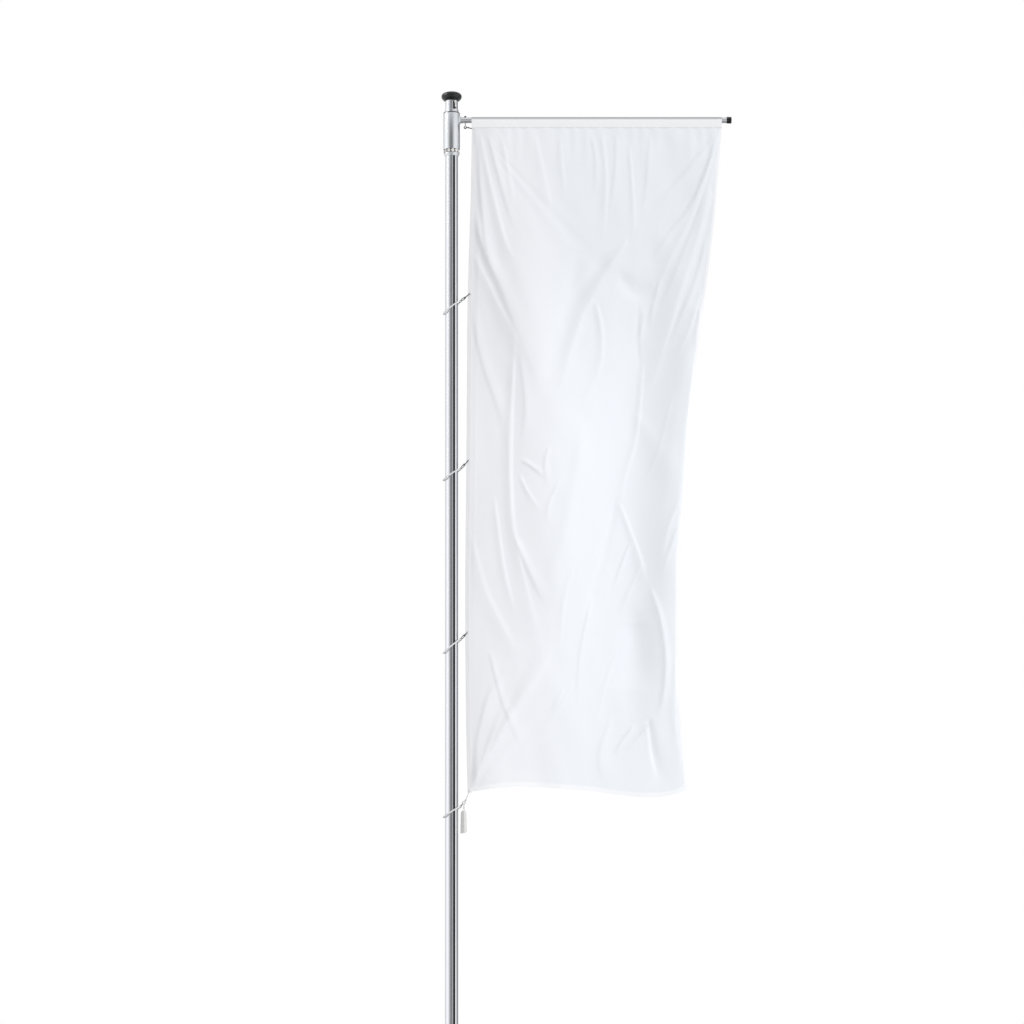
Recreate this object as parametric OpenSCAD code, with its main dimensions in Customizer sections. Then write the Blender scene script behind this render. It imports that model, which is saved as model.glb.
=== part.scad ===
/* [Mast] */
// Height of the mast tube above ground
mast_h = 8010; // [8005:1:8012]
// Outer diameter of the mast tube
mast_d = 75; // [70:0.5:80]
// Wall thickness of the mast tube
mast_wall = 2.8; // [2:0.1:4]
// Width of the halyard slot in the mast
slot_w = 11.5; // [9:0.1:12]
// Angle of the slot round the mast, from the arm
slot_angle = -67; // [-80:1:-50]
// Diameter of the cap on top
cap_d = 120; // [110:1:130]
// Height of the cap
cap_h = 58; // [54:1:62]

/* [Carriage] */
// Level of the lowest point of the carriage when hoisted
carriage_z = 7655; // [5000:1:7655]
// Radial running clearance on the mast
run_clear = 0.1; // [0.05:0.01:0.1]
// Number of rollers under the sleeve
roller_count = 12; // [8:1:12]
// Place of the first roller round the mast, from the arm
roller_turn = 9; // [0:1:36]
// Diameter of a roller
roller_d = 18.5; // [14:0.5:18.5]

/* [Boom] */
// Outer diameter of the turning sleeve
sleeve_d = 98; // [97:0.5:104]
// Height of the turning sleeve
sleeve_h = 220; // [200:1:220]
// Diameter of the arm tube
arm_d = 35; // [30:0.5:36]
// Wall thickness of the arm tube
arm_wall = 2; // [1.5:0.1:3]
// Reach of the arm tube from the mast centre
arm_reach = 1623; // [1610:1:1800]
// Diameter of the cap on the arm's end
arm_cap_d = 40; // [38:1:44]
// Height of the arm's centreline above the sleeve's lower end
arm_rise = 183; // [170:1:185]

/* [Banner] */
// Thickness of the cloth solid
cloth_t = 3; // [2:0.5:4]
// Width of the webbing along the hoist edge
band_w = 20; // [20:1:50]
// Depth of the cloth's waves each way
wave_depth = 135; // [40:1:140]
// Number of waves across the banner
wave_count = 1.4; // [1:0.05:2]

/* [Loops and weight] */
// Diameter of the loop cord
cord_d = 8; // [5:0.5:8]
// Half length of a loop, seen from above
loop_reach = 48; // [48:0.5:52]
// Half width of a loop
loop_half_w = 46.5; // [46.5:0.5:48]
// Side of the square weight
weight_side = 27.6; // [24:0.1:28]
// Height of the weight
weight_h = 130; // [100:1:135]

/* [Hidden] */
$fn = 64;

anodised = "#b9bdc4";
black = "#16171a";
white = "#eef0f2";

mast_r = mast_d / 2;
channel_r = 28;      // distance of the halyard channel's centre from the mast's axis
channel_bore = 7;
channel_wall = 2.5;
rope_r = 3;
bore_r = mast_r + run_clear;

tube_r = 40.9;       // outside of the carriage tube
cone_h = 20;
cage_h = 20;
cage_z = carriage_z + cone_h;
sleeve_z = cage_z + cage_h;
sleeve_top = sleeve_z + sleeve_h;
sleeve_r = sleeve_d / 2;
sleeve_bore = 46;
bush_r = tube_r + run_clear;
bush_h = 25;         // how far the bush reaches into the sleeve
flange_h = 5;
ring_z = sleeve_top + 9;
ring_h = 14;
ring_out = 41.5;
cap_z = 8022;
head_z = mast_h + 11;   // centre of the halyard's turn inside the cap

arm_z = sleeve_z + arm_rise;
arm_r = arm_d / 2;
saddle_x = 51.5;
saddle_r = 27;
eye_x = 81;
eye_drop = 43;
eye_r = 7;

hem_x = [118, 1594];
hem_drop = 41;       // from the arm's centreline to the seam
top_z = arm_z - hem_drop;
// the hoist edge and the free edge, as [height, distance from the mast's axis]
hoist_edge = [[3897, 93], [4056, 89], [4430, 83], [5010, 80], [5835, 87], [6190, 90], [6790, 95],
              [7090, 103], [7392, 113], [7825, 121]];
free_edge = [[3912, 1343], [4056, 1334], [4344, 1309], [4633, 1295], [4954, 1299], [5305, 1316],
             [5569, 1344], [6132, 1388], [6609, 1452], [7181, 1532], [7837, 1594]];
// the lower edge, as [part of the width, height]
lower_edge = [[0, 3903], [0.2, 3934], [0.5, 3914], [0.95, 3892], [1, 3912]];
grommet_z = [7825, 6825, 5832, 4823, 3908];
grommet_in = 10;     // from the hoist edge to a grommet's centre

loop_z = [6742, 5748, 4741, 3786];
loop_tilt = [38, 34, 39, 32];
loop_x = 1.5;
wire_r = 1.2;
link_r = 4.5;
cord_link_r = 6;     // a hook's ring round a loop's cord
ring_c = [70, 3839]; // centre of the weight's ring
ring_r = 8.5;
ring_wire = 1.8;
pivot = ring_c + ring_r * [0.1, -0.995];
weight_top = 3792;
weight_x = 69;
weight_turn = -32;

// a ring lying in the XY plane
module torus(r, wire) {
    rotate_extrude() translate([r, 0]) circle(wire, $fn = 24);
}

module tube(r_out, r_in, h) {
    difference() {
        cylinder(r = r_out, h = h);
        translate([0, 0, -1]) cylinder(r = r_in, h = h + 2);
    }
}

// stands children at a, with their Z axis towards b; a and b are [x, z] at y = 0
module along(a, b) {
    translate([a[0], 0, a[1]]) rotate([0, atan2(b[0] - a[0], b[1] - a[1]), 0]) children();
}

// a link from a to b: a ring at each end and a thicker body between them
// flat_a lays the first ring in the XZ plane, round a cord that runs along Y
module link(a, b, r_a, r_b, body_r, flat_a = false) {
    len = norm(b - a);
    along(a, b) union() {
        rotate(flat_a ? [90, 0, 0] : [0, 90, 0]) torus(r_a, wire_r);
        translate([0, 0, len]) rotate([0, 90, 0]) torus(r_b, wire_r);
        translate([0, 0, r_a]) cylinder(r = body_r, h = len - r_a - r_b);
    }
}

function edge_x(z) = lookup(z, hoist_edge);
function grommet(i) = [edge_x(grommet_z[i]) + grommet_in, grommet_z[i]];
// the centre of a ring that comes from a and passes through a grommet
function before_grommet(i, a) = grommet(i) - grommet_in * (grommet(i) - a) / norm(grommet(i) - a);

// the mast's section, with the halyard's channel and slot towards +X
module mast_section() {
    difference() {
        union() {
            difference() {
                circle(mast_r);
                circle(mast_r - mast_wall);
            }
            intersection() {
                circle(mast_r);
                translate([channel_r, 0]) circle(channel_bore + channel_wall);
            }
        }
        translate([channel_r, 0]) circle(channel_bore);
        translate([channel_r, -slot_w / 2]) square([20, slot_w]);
    }
}

module mast_tube() {
    color(anodised) rotate(slot_angle) linear_extrude(mast_h) mast_section();
}

module foot_plug() {
    color(black) rotate(slot_angle) linear_extrude(30) difference() {
        circle(mast_r - mast_wall);
        translate([channel_r, 0]) circle(channel_bore + channel_wall + 1);
    }
}

// a quarter of the cap's section: a side arc and a flatter arc over it that meet smoothly
module cap_quarter(side_r, rise) {
    side_x = cap_d / 2 - side_r;
    fall = (side_x * side_x - pow(rise - side_r, 2)) / (2 * (rise - side_r));
    top_r = rise + fall;
    intersection() {
        square([cap_d, rise]);
        union() {
            translate([side_x, 0]) circle(side_r);
            intersection() {
                square([side_x * top_r / (top_r - side_r), rise]);
                translate([0, -fall]) circle(top_r, $fn = 180);
            }
        }
    }
}

module mast_cap() {
    color(black) translate([0, 0, cap_z]) difference() {
        rotate_extrude() {
            cap_quarter(20, cap_h / 2);
            mirror([0, 1]) cap_quarter(26, cap_h * 0.69);
        }
        translate([0, 0, -cap_h]) cylinder(r = mast_r, h = cap_h + mast_h - cap_z);
        translate([0, 0, mast_h - cap_z - 1]) cylinder(r = mast_r - mast_wall, h = 31);
    }
}

// up the inside of the mast, over the head and into the top of the channel
module halyard() {
    turn_r = channel_r / 2;
    color(white) rotate(slot_angle) union() {
        translate([0, 0, 30]) cylinder(r = rope_r, h = head_z - 30);
        translate([turn_r, 0, head_z]) rotate([90, 0, 0])
            rotate_extrude(angle = 180) translate([turn_r, 0]) circle(rope_r, $fn = 24);
        translate([channel_r, 0, mast_h - 8]) cylinder(r = rope_r, h = head_z - mast_h + 8);
    }
}

module carriage_tube() {
    color(anodised) translate([0, 0, cage_z]) tube(tube_r, bore_r, ring_z - cage_z);
}

module glide_ring() {
    color(white) translate([0, 0, ring_z]) tube(ring_out, bore_r, ring_h);
}

module roller_places() {
    for (i = [0 : roller_count - 1])
        rotate(roller_turn + i * 360 / roller_count)
            translate([0, 0, cage_z + 10.5]) rotate([0, 90, 0]) children();
}

module roller_cage() {
    color(black) difference() {
        translate([0, 0, cage_z]) tube(44.5, tube_r, cage_h);
        roller_places() translate([0, 0, tube_r - 2]) cylinder(d = roller_d + 0.6, h = 10);
    }
}

module rollers() {
    color(white) roller_places() translate([0, 0, tube_r + 0.4]) cylinder(d = roller_d, h = 5.7);
}

module seat_cone() {
    color(anodised) translate([0, 0, carriage_z]) difference() {
        cylinder(r1 = 39.2, r2 = 47, h = cone_h);
        translate([0, 0, -1]) cylinder(r = bore_r, h = cone_h + 2);
    }
}

// keeps the carriage from turning on the mast
module groove_slider() {
    color(white) rotate(slot_angle) translate([0, 0, sleeve_z]) union() {
        translate([channel_r, 0, 0]) cylinder(r = channel_bore - 0.5, h = 60);
        translate([channel_r, -slot_w / 2 + 0.2, 0]) cube([mast_r - channel_r - 0.4, slot_w - 0.4, 60]);
    }
}

// the halyard's last stretch: down the channel, out through the slot and into its knot
module halyard_end() {
    knot = [48.6, ring_z + ring_h + 6];
    bend = [channel_r, ring_z + ring_h + 34];
    color(white) rotate(slot_angle) union() {
        translate([channel_r, 0, bend[1]]) cylinder(r = rope_r, h = mast_h - 8.5 - bend[1]);
        along(bend, knot) translate([0, 0, -2]) cylinder(r = rope_r - 0.2, h = norm(knot - bend) + 2);
        along(knot, bend) sphere(5.5);
    }
}

module boom_sleeve() {
    color(anodised) translate([0, 0, sleeve_z]) tube(sleeve_r, sleeve_bore, sleeve_h);
}

module upper_bush() {
    color(black) translate([0, 0, sleeve_top]) difference() {
        union() {
            translate([0, 0, -bush_h]) cylinder(r = sleeve_bore, h = bush_h);
            cylinder(r = sleeve_r - 0.5, h = flange_h);
        }
        translate([0, 0, -bush_h - 1]) cylinder(r = bush_r, h = bush_h + flange_h + 2);
    }
}

module arm_saddle() {
    color(anodised) difference() {
        translate([saddle_x - 14, 0, arm_z]) rotate([0, 90, 0]) cylinder(r = saddle_r, h = 14);
        translate([0, 0, arm_z - 40]) cylinder(r = sleeve_r, h = 80);
    }
}

module arm_socket() {
    color(anodised) translate([saddle_x, 0, arm_z]) rotate([0, 90, 0]) tube(arm_r + 2, arm_r, 16);
}

module arm_tube() {
    color(anodised) difference() {
        translate([saddle_x, 0, arm_z]) rotate([0, 90, 0])
            tube(arm_r, arm_r - arm_wall, arm_reach - saddle_x);
        translate([eye_x, 0, arm_z - 30]) cylinder(r = 3.2, h = 60);
    }
}

module arm_end_cap() {
    color(black) translate([arm_reach, 0, arm_z]) rotate([0, 90, 0]) union() {
        cylinder(d = arm_cap_d, h = 29);
        translate([0, 0, -20]) cylinder(r = arm_r - arm_wall - 0.05, h = 21);
    }
}

module eye_bolt() {
    color("silver") translate([eye_x, 0, arm_z - eye_drop]) union() {
        rotate([90, 0, 0]) torus(eye_r, 2.2);
        translate([0, 0, eye_r]) cylinder(r = 3, h = eye_drop - eye_r + arm_r + 9);
    }
}

module eye_nut() {
    color(black) translate([eye_x, 0, arm_z + arm_r]) difference() {
        cylinder(d = 13, h = 6, $fn = 6);
        translate([0, 0, -1]) cylinder(r = 3.02, h = 8);
    }
}

module top_hook() {
    eye = [eye_x + eye_r, arm_z - eye_drop];
    color("silver") link(eye, before_grommet(0, eye), link_r, grommet_in, 3);
}

// a point of the cloth: u across from the webbing, v down from the seam, on the front or back face
function cloth_point(u, v, side) =
    let (z = top_z - v * (top_z - lookup(u, lower_edge)),
         x_in = edge_x(z) + band_w + 2,
         x = x_in + u * (lookup(z, free_edge) - x_in),
         wave = wave_depth * min(1, 2.5 * v) * min(1, 5 * u) * sin(360 * (wave_count * u + 0.05)))
    [x, wave + side * cloth_t / 2, z];

module flag_cloth() {
    across = 26;
    down = 20;
    row = across + 1;
    face = row * (down + 1);
    points = [for (side = [-1, 1], j = [0 : down], i = [0 : across])
        cloth_point(i / across, j / down, side)];
    function cell(i, j) = j * row + i;
    // the rim as a closed ring of cells, walked once round
    rim = concat([for (i = [0 : across - 1]) cell(i, 0)], [for (j = [0 : down - 1]) cell(across, j)],
                 [for (i = [across : -1 : 1]) cell(i, down)], [for (j = [down : -1 : 1]) cell(0, j)]);
    front = [for (j = [0 : down - 1], i = [0 : across - 1], k = [0, 1])
        let (a = cell(i, j), b = cell(i + 1, j), c = cell(i + 1, j + 1), d = cell(i, j + 1))
        k == 0 ? [a, b, c] : [a, c, d]];
    back = [for (f = front) [f[2] + face, f[1] + face, f[0] + face]];
    edge = [for (n = [0 : len(rim) - 1], k = [0, 1])
        let (a = rim[n], b = rim[(n + 1) % len(rim)])
        k == 0 ? [b, a, a + face] : [b, a + face, b + face]];
    color(white) polyhedron(points, concat(front, back, edge));
}

// the pocket's section round the arm, closed by a seam hem_drop below the centreline
module pocket_section(r, drop, tail) {
    lean = acos(r / drop);
    touch = [r * sin(lean), -r * cos(lean)];
    circle(r);
    polygon([[-touch[0], touch[1]], [-tail, -drop], [tail, -drop], touch]);
}

module flag_hem() {
    color(white) translate([hem_x[0], 0, arm_z]) rotate([90, 0, 90]) linear_extrude(hem_x[1] - hem_x[0])
        difference() {
            pocket_section(arm_r + 1.8, hem_drop, cloth_t / 2);
            pocket_section(arm_r + 0.3, hem_drop - 6, 0.1);
        }
}

module hoist_band() {
    outer = [for (p = hoist_edge) [p[1], p[0]]];
    inner = [for (i = [len(hoist_edge) - 1 : -1 : 0]) [hoist_edge[i][1] + band_w, hoist_edge[i][0]]];
    top = [[edge_x(7825) + band_w, top_z], [edge_x(7825), top_z]];
    color(white) rotate([90, 0, 0]) translate([0, 0, -cloth_t / 2]) linear_extrude(cloth_t) difference() {
        polygon(concat(outer, [top[1], top[0]], inner));
        for (i = [0 : 4]) translate(grommet(i)) circle(6);
    }
}

module grommets() {
    color("silver") for (i = [0 : 4])
        translate([grommet(i)[0], 2.5, grommet(i)[1]]) rotate([90, 0, 0]) tube(6, 4, 5);
}

// a closed loop of cord with straight sides and round ends, and a bead at its lower end
module mast_loop(i) {
    straight = loop_reach / cos(loop_tilt[i]) - loop_half_w;
    color(white) translate([loop_x, 0, loop_z[i]]) rotate([0, -loop_tilt[i], 0]) union() {
        for (turn = [0, 180]) rotate(turn) {
            translate([straight, 0, 0]) rotate(-90) rotate_extrude(angle = 180)
                translate([loop_half_w, 0]) circle(cord_d / 2, $fn = 24);
            translate([-straight, loop_half_w, 0]) rotate([0, 90, 0]) cylinder(d = cord_d, h = 2 * straight);
        }
        translate([-(loop_reach + 1) / cos(loop_tilt[i]), 0, 0]) sphere(5);
    }
}

// the loop's end on the banner's side
function loop_end(i) = [loop_x + loop_reach + 0.6, loop_z[i] + loop_reach * tan(loop_tilt[i]) + 0.4];

module loop_hook(i) {
    end = loop_end(i);
    color("gray") link(end, before_grommet(i + 1, end), cord_link_r, grommet_in, 4.5, true);
}

// the last loop is hooked to the weight's ring
module last_hook() {
    side = [-0.75, -0.66];
    color("gray") link(loop_end(3), ring_c + ring_r * side, cord_link_r, link_r, 4, true);
}

module corner_cord() {
    a = ring_c + ring_r * [0.75, 0.66];
    color("gray") union() {
        link(a, before_grommet(4, a), link_r, grommet_in, 2.5);
        along(a, grommet(4)) translate([0, 0, link_r + 4]) sphere(5);
    }
}

module weight_ring() {
    color("silver") translate([ring_c[0], 0, ring_c[1]]) rotate([90, 0, 0]) torus(ring_r, ring_wire);
}

module weight_block() {
    slant = 15;
    color("gray") difference() {
        intersection() {
            translate([weight_x, 0, weight_top - weight_h]) rotate(weight_turn)
                translate([-weight_side / 2, -weight_side / 2, 0]) cube([weight_side, weight_side, weight_h]);
            translate([weight_x, 0, 0]) union() {
                cylinder(r = 30, h = weight_top - 22);
                translate([0, 0, weight_top - 22]) cylinder(r1 = 20, r2 = 15.5, h = 22);
            }
        }
        translate([weight_x - 20, -30, weight_top - weight_h]) rotate([0, -slant, 0])
            translate([-20, 0, -40]) cube([100, 60, 40]);
    }
}

// the bail's eye hangs on the weight's ring and turns about an axis along X
module weight_bail() {
    color("silver") union() {
        translate([pivot[0], 0, pivot[1]]) rotate([0, 90, 0]) torus(link_r, wire_r);
        translate([pivot[0] - 4, -1.5, weight_top]) cube([8, 3, pivot[1] - link_r - weight_top]);
    }
}

mast_tube();
foot_plug();
mast_cap();
halyard();
carriage_tube();
glide_ring();
roller_cage();
rollers();
seat_cone();
groove_slider();
halyard_end();
boom_sleeve();
upper_bush();
arm_saddle();
arm_socket();
arm_tube();
arm_end_cap();
eye_bolt();
eye_nut();
top_hook();
flag_cloth();
flag_hem();
hoist_band();
grommets();
mast_loop(0);  // mast_loop_1
mast_loop(1);  // mast_loop_2
mast_loop(2);  // mast_loop_3
mast_loop(3);  // mast_loop_4
loop_hook(0);  // loop_hook_1
loop_hook(1);  // loop_hook_2
loop_hook(2);  // loop_hook_3
last_hook();  // loop_hook_4
corner_cord();
weight_ring();
weight_block();
weight_bail();
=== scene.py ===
import math

import bmesh
import bpy
import numpy as np
from mathutils import Matrix, Vector, geometry, noise


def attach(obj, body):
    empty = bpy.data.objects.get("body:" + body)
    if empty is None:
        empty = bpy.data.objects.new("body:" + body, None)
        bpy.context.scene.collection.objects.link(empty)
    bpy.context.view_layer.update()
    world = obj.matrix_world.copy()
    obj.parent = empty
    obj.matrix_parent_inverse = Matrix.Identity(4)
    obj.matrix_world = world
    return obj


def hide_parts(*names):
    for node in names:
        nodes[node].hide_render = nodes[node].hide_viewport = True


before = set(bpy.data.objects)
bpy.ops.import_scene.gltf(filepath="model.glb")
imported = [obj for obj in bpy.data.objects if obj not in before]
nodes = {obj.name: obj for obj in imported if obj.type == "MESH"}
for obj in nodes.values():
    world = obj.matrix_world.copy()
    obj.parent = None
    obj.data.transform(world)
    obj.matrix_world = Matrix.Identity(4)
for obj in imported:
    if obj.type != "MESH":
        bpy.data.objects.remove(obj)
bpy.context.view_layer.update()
scene = bpy.context.scene
mm = 0.001


# small helpers

def addNode(tree, kind, inputs=None, **settings):
    node = tree.nodes.new(kind)
    for key, value in settings.items():
        setattr(node, key, value)
    for key, value in (inputs or {}).items():
        if isinstance(value, bpy.types.NodeSocket):
            tree.links.new(value, node.inputs[key])
        else:
            node.inputs[key].default_value = value
    return node


def linear(hexCode):
    parts = [int(hexCode[k:k + 2], 16) / 255 for k in (1, 3, 5)]
    return [c / 12.92 if c <= 0.04045 else ((c + 0.055) / 1.055) ** 2.4 for c in parts] + [1.0]


def calc(tree, operation, a, b=0.0):
    return addNode(tree, "ShaderNodeMath", {0: a, 1: b}, operation=operation).outputs[0]


def remap(tree, value, low, high, toLow=0.0, toHigh=1.0):
    inputs = {"Value": value, "From Min": low, "From Max": high, "To Min": toLow, "To Max": toHigh}
    return addNode(tree, "ShaderNodeMapRange", inputs, interpolation_type="SMOOTHSTEP").outputs[0]


def meshPiece(name, verts, faces, uvs=None, sharp=30):
    mesh = bpy.data.meshes.new(name)
    mesh.from_pydata([tuple(v) for v in verts], [], [tuple(f) for f in faces])
    if uvs is not None:
        layer = mesh.uv_layers.new(name="UVMap")
        corner = np.array([loop.vertex_index for loop in mesh.loops])
        layer.data.foreach_set("uv", np.asarray(uvs, float)[corner].ravel())
    piece = bpy.data.objects.new(name, mesh)
    scene.collection.objects.link(piece)
    smooth(piece, sharp)
    return piece


def smooth(piece, sharp=30):
    piece.data.shade_smooth()
    piece.data.set_sharp_from_angle(angle=math.radians(sharp))
    piece.data.update()


def outward(piece):
    bm = bmesh.new()
    bm.from_mesh(piece.data)
    bmesh.ops.recalc_face_normals(bm, faces=bm.faces)
    bm.to_mesh(piece.data)
    bm.free()
    return piece


def joined(name, pieces, sharp=30):
    mesh = bpy.data.meshes.new(name)
    bm = bmesh.new()
    for piece in pieces:
        bm.from_mesh(piece.data)
    bm.to_mesh(mesh)
    bm.free()
    for piece in pieces:
        bpy.data.objects.remove(piece)
    whole = bpy.data.objects.new(name, mesh)
    scene.collection.objects.link(whole)
    smooth(whole, sharp)
    return whole


def baked(piece, sharp=30):
    # replaces the piece's mesh by what its modifiers make of it
    graph = bpy.context.evaluated_depsgraph_get()
    made = bpy.data.meshes.new_from_object(piece.evaluated_get(graph))
    piece.modifiers.clear()
    piece.data = made
    smooth(piece, sharp)
    return piece


def rounded(corners, radius, steps=4, least=35):
    # rounds the sharp corners of a closed outline of (a, b) points
    made = []
    count = len(corners)
    for k in range(count):
        before, here, after = (Vector(corners[(k + d) % count]) for d in (-1, 0, 1))
        inward, onward = here - before, after - here
        if inward.length < 1e-9 or onward.length < 1e-9:
            continue
        turn = math.degrees(inward.angle(onward))
        if turn < least:
            made.append(tuple(here))
            continue
        cut = min(radius * math.tan(math.radians(turn) / 2), inward.length * 0.45, onward.length * 0.45)
        start = here - inward.normalized() * cut
        end = here + onward.normalized() * cut
        for step in range(steps + 1):
            t = step / steps
            made.append(tuple(start * (1 - t) ** 2 + here * 2 * t * (1 - t) + end * t ** 2))
    return made


def lathe(name, profile, at=(0, 0, 0), axis=(0, 0, 1), sides=96, sharp=30):
    # turns a closed (radius, height) outline round an axis through at
    turn = Vector((0, 0, 1)).rotation_difference(Vector(axis)).to_matrix()
    count = len(profile)
    verts = []
    for s in range(sides):
        a = math.tau * s / sides
        for r, h in profile:
            verts.append(Vector(at) + turn @ Vector((r * math.cos(a), r * math.sin(a), h)))
    faces = []
    for s in range(sides):
        n = (s + 1) % sides
        for k in range(count):
            m = (k + 1) % count
            faces.append((s * count + k, n * count + k, n * count + m, s * count + m))
    piece = meshPiece(name, verts, faces, sharp=sharp)
    bm = bmesh.new()
    bm.from_mesh(piece.data)
    bmesh.ops.remove_doubles(bm, verts=bm.verts, dist=1e-6)
    bmesh.ops.dissolve_degenerate(bm, edges=bm.edges, dist=1e-7)
    bmesh.ops.recalc_face_normals(bm, faces=bm.faces)
    bm.to_mesh(piece.data)
    bm.free()
    smooth(piece, sharp)
    return piece


def prism(name, loops, along, sharp=30):
    # stretches a section, an outline and its holes as lists of 3-D points, by the vector along
    verts, faces = [], []
    for loop in loops:
        first, count = len(verts), len(loop)
        verts += [Vector(p) for p in loop] + [Vector(p) + Vector(along) for p in loop]
        for k in range(count):
            m = (k + 1) % count
            faces.append((first + k, first + m, first + count + m, first + count + k))
    flat = geometry.tessellate_polygon([[Vector(p) for p in loop] for loop in loops])
    lower, upper = [], []
    first = 0
    for loop in loops:
        lower += range(first, first + len(loop))
        upper += range(first + len(loop), first + 2 * len(loop))
        first += 2 * len(loop)
    for tri in flat:
        faces.append([lower[k] for k in tri])
        faces.append([upper[k] for k in reversed(tri)])
    piece = outward(meshPiece(name, verts, faces, sharp=sharp))
    smooth(piece, sharp)
    return piece


def arc(centre, radius, start, end, steps):
    return [(centre[0] + radius * math.cos(math.radians(start + (end - start) * k / steps)),
             centre[1] + radius * math.sin(math.radians(start + (end - start) * k / steps)))
            for k in range(steps + 1)]


def curvedPath(points, steps=8, closed=False):
    # a smooth line through the points
    pts = [Vector(p) for p in points]
    count = len(pts)
    made = []
    for k in range(count if closed else count - 1):
        if closed:
            p0, p1, p2, p3 = (pts[(k + d) % count] for d in (-1, 0, 1, 2))
        else:
            p0, p1, p2, p3 = (pts[min(max(k + d, 0), count - 1)] for d in (-1, 0, 1, 2))
        for step in range(steps):
            t = step / steps
            made.append(0.5 * (2 * p1 + (p2 - p0) * t + (2 * p0 - 5 * p1 + 4 * p2 - p3) * t * t
                               + (3 * p1 - p0 - 3 * p2 + p3) * t ** 3))
    if not closed:
        made.append(pts[-1])
    return made


def sweep(name, path, radius, sides=16, closed=False, flat=1.0, sharp=40):
    # a bar along the path, with UVs once round and metres along; flat squeezes its section
    pts = np.array([tuple(p) for p in path], float)
    count = len(pts)
    if closed:
        tangent = np.roll(pts, -1, 0) - np.roll(pts, 1, 0)
    else:
        tangent = np.gradient(pts, axis=0)
    tangent /= np.linalg.norm(tangent, axis=1)[:, None]
    across = Vector(tangent[0]).orthogonal().normalized()
    frames = []
    for k in range(count):
        t = Vector(tangent[k])
        if k:
            across = Vector(tangent[k - 1]).rotation_difference(t) @ across
        frames.append((across.copy(), t.cross(across)))
    twist = 0.0
    if closed:
        last = Vector(tangent[-1]).rotation_difference(Vector(tangent[0])) @ frames[-1][0]
        twist = math.atan2(last.dot(frames[0][1]), last.dot(frames[0][0]))
    radii = np.broadcast_to(np.asarray(radius, float), (count,))
    lengths = np.concatenate([[0], np.cumsum(np.linalg.norm(np.diff(pts, axis=0), axis=1))])
    verts, uvs = [], []
    for k in range(count):
        a, b = frames[k]
        back = -twist * k / count
        for s in range(sides):
            angle = math.tau * s / sides + back
            side = a * math.cos(angle) + b * math.sin(angle) * flat
            verts.append(Vector(pts[k]) + side * radii[k])
            uvs.append((abs(2 * s / sides - 1), lengths[k]))
    faces = []
    for k in range(count if closed else count - 1):
        m = (k + 1) % count
        for s in range(sides):
            n = (s + 1) % sides
            faces.append((k * sides + s, k * sides + n, m * sides + n, m * sides + s))
    if not closed:
        faces.append(tuple(reversed(range(sides))))
        faces.append(tuple(range((count - 1) * sides, count * sides)))
    piece = outward(meshPiece(name, verts, faces, uvs, sharp))
    smooth(piece, sharp)
    return piece


def finished(piece, material, body, *replaced):
    # gives a piece its material and its body, and hides the CAD nodes that it stands for
    piece.data.materials.clear()
    piece.data.materials.append(material)
    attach(piece, body)
    if replaced:
        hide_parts(*replaced)
    return piece


# materials

def newMaterial(name):
    material = bpy.data.materials.new(name)
    material.use_nodes = True
    tree = material.node_tree
    tree.nodes.clear()
    shader = addNode(tree, "ShaderNodeBsdfPrincipled")
    addNode(tree, "ShaderNodeOutputMaterial", {"Surface": shader.outputs[0]})
    return material, tree, shader


def setInputs(shader, **values):
    for key, value in values.items():
        shader.inputs[key.replace("_", " ")].default_value = value


def grain(tree, scale, stretch=(1, 1, 1), detail=3.0):
    # noise in real size: scale is in spots per metre, stretch multiplies it for each axis
    place = addNode(tree, "ShaderNodeTexCoord").outputs["Object"]
    place = addNode(tree, "ShaderNodeVectorMath", {0: place, 1: stretch}, operation="MULTIPLY").outputs[0]
    return addNode(tree, "ShaderNodeTexNoise", {"Vector": place, "Scale": scale, "Detail": detail}).outputs[0]


def bump(tree, shader, height, distance, strength=1.0):
    inputs = {"Height": height, "Distance": distance, "Strength": strength}
    tree.links.new(addNode(tree, "ShaderNodeBump", inputs).outputs[0], shader.inputs["Normal"])


def extrudedAluminium(name, axis, rough):
    # satin anodised, drawn through a die: fine lines along its length blur the reflection sideways
    material, tree, shader = newMaterial(name)
    stretch = tuple(0.004 if k == axis else 1 for k in range(3))
    lines = grain(tree, 900, stretch)
    clouds = grain(tree, 9, detail=4.0)
    setInputs(shader, Base_Color=linear("#dfe2e6"), Metallic=1.0)
    wear = calc(tree, "ADD", remap(tree, lines, 0.3, 0.7, rough - 0.03, rough + 0.03),
                remap(tree, clouds, 0.3, 0.7, -0.015, 0.02))
    tree.links.new(wear, shader.inputs["Roughness"])
    bump(tree, shader, lines, 0.00002, 0.35)
    return material


def mouldedPlastic(name, hexCode, rough, specular, pits=2500):
    # injection-moulded nylon: a faint skin texture and slightly cloudy gloss
    material, tree, shader = newMaterial(name)
    skin = grain(tree, pits)
    setInputs(shader, Base_Color=linear(hexCode), Specular_IOR_Level=specular)
    gloss = remap(tree, grain(tree, 60), 0.3, 0.7, rough - 0.05, rough + 0.07)
    tree.links.new(gloss, shader.inputs["Roughness"])
    bump(tree, shader, skin, 0.00003, 0.4)
    return material


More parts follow.
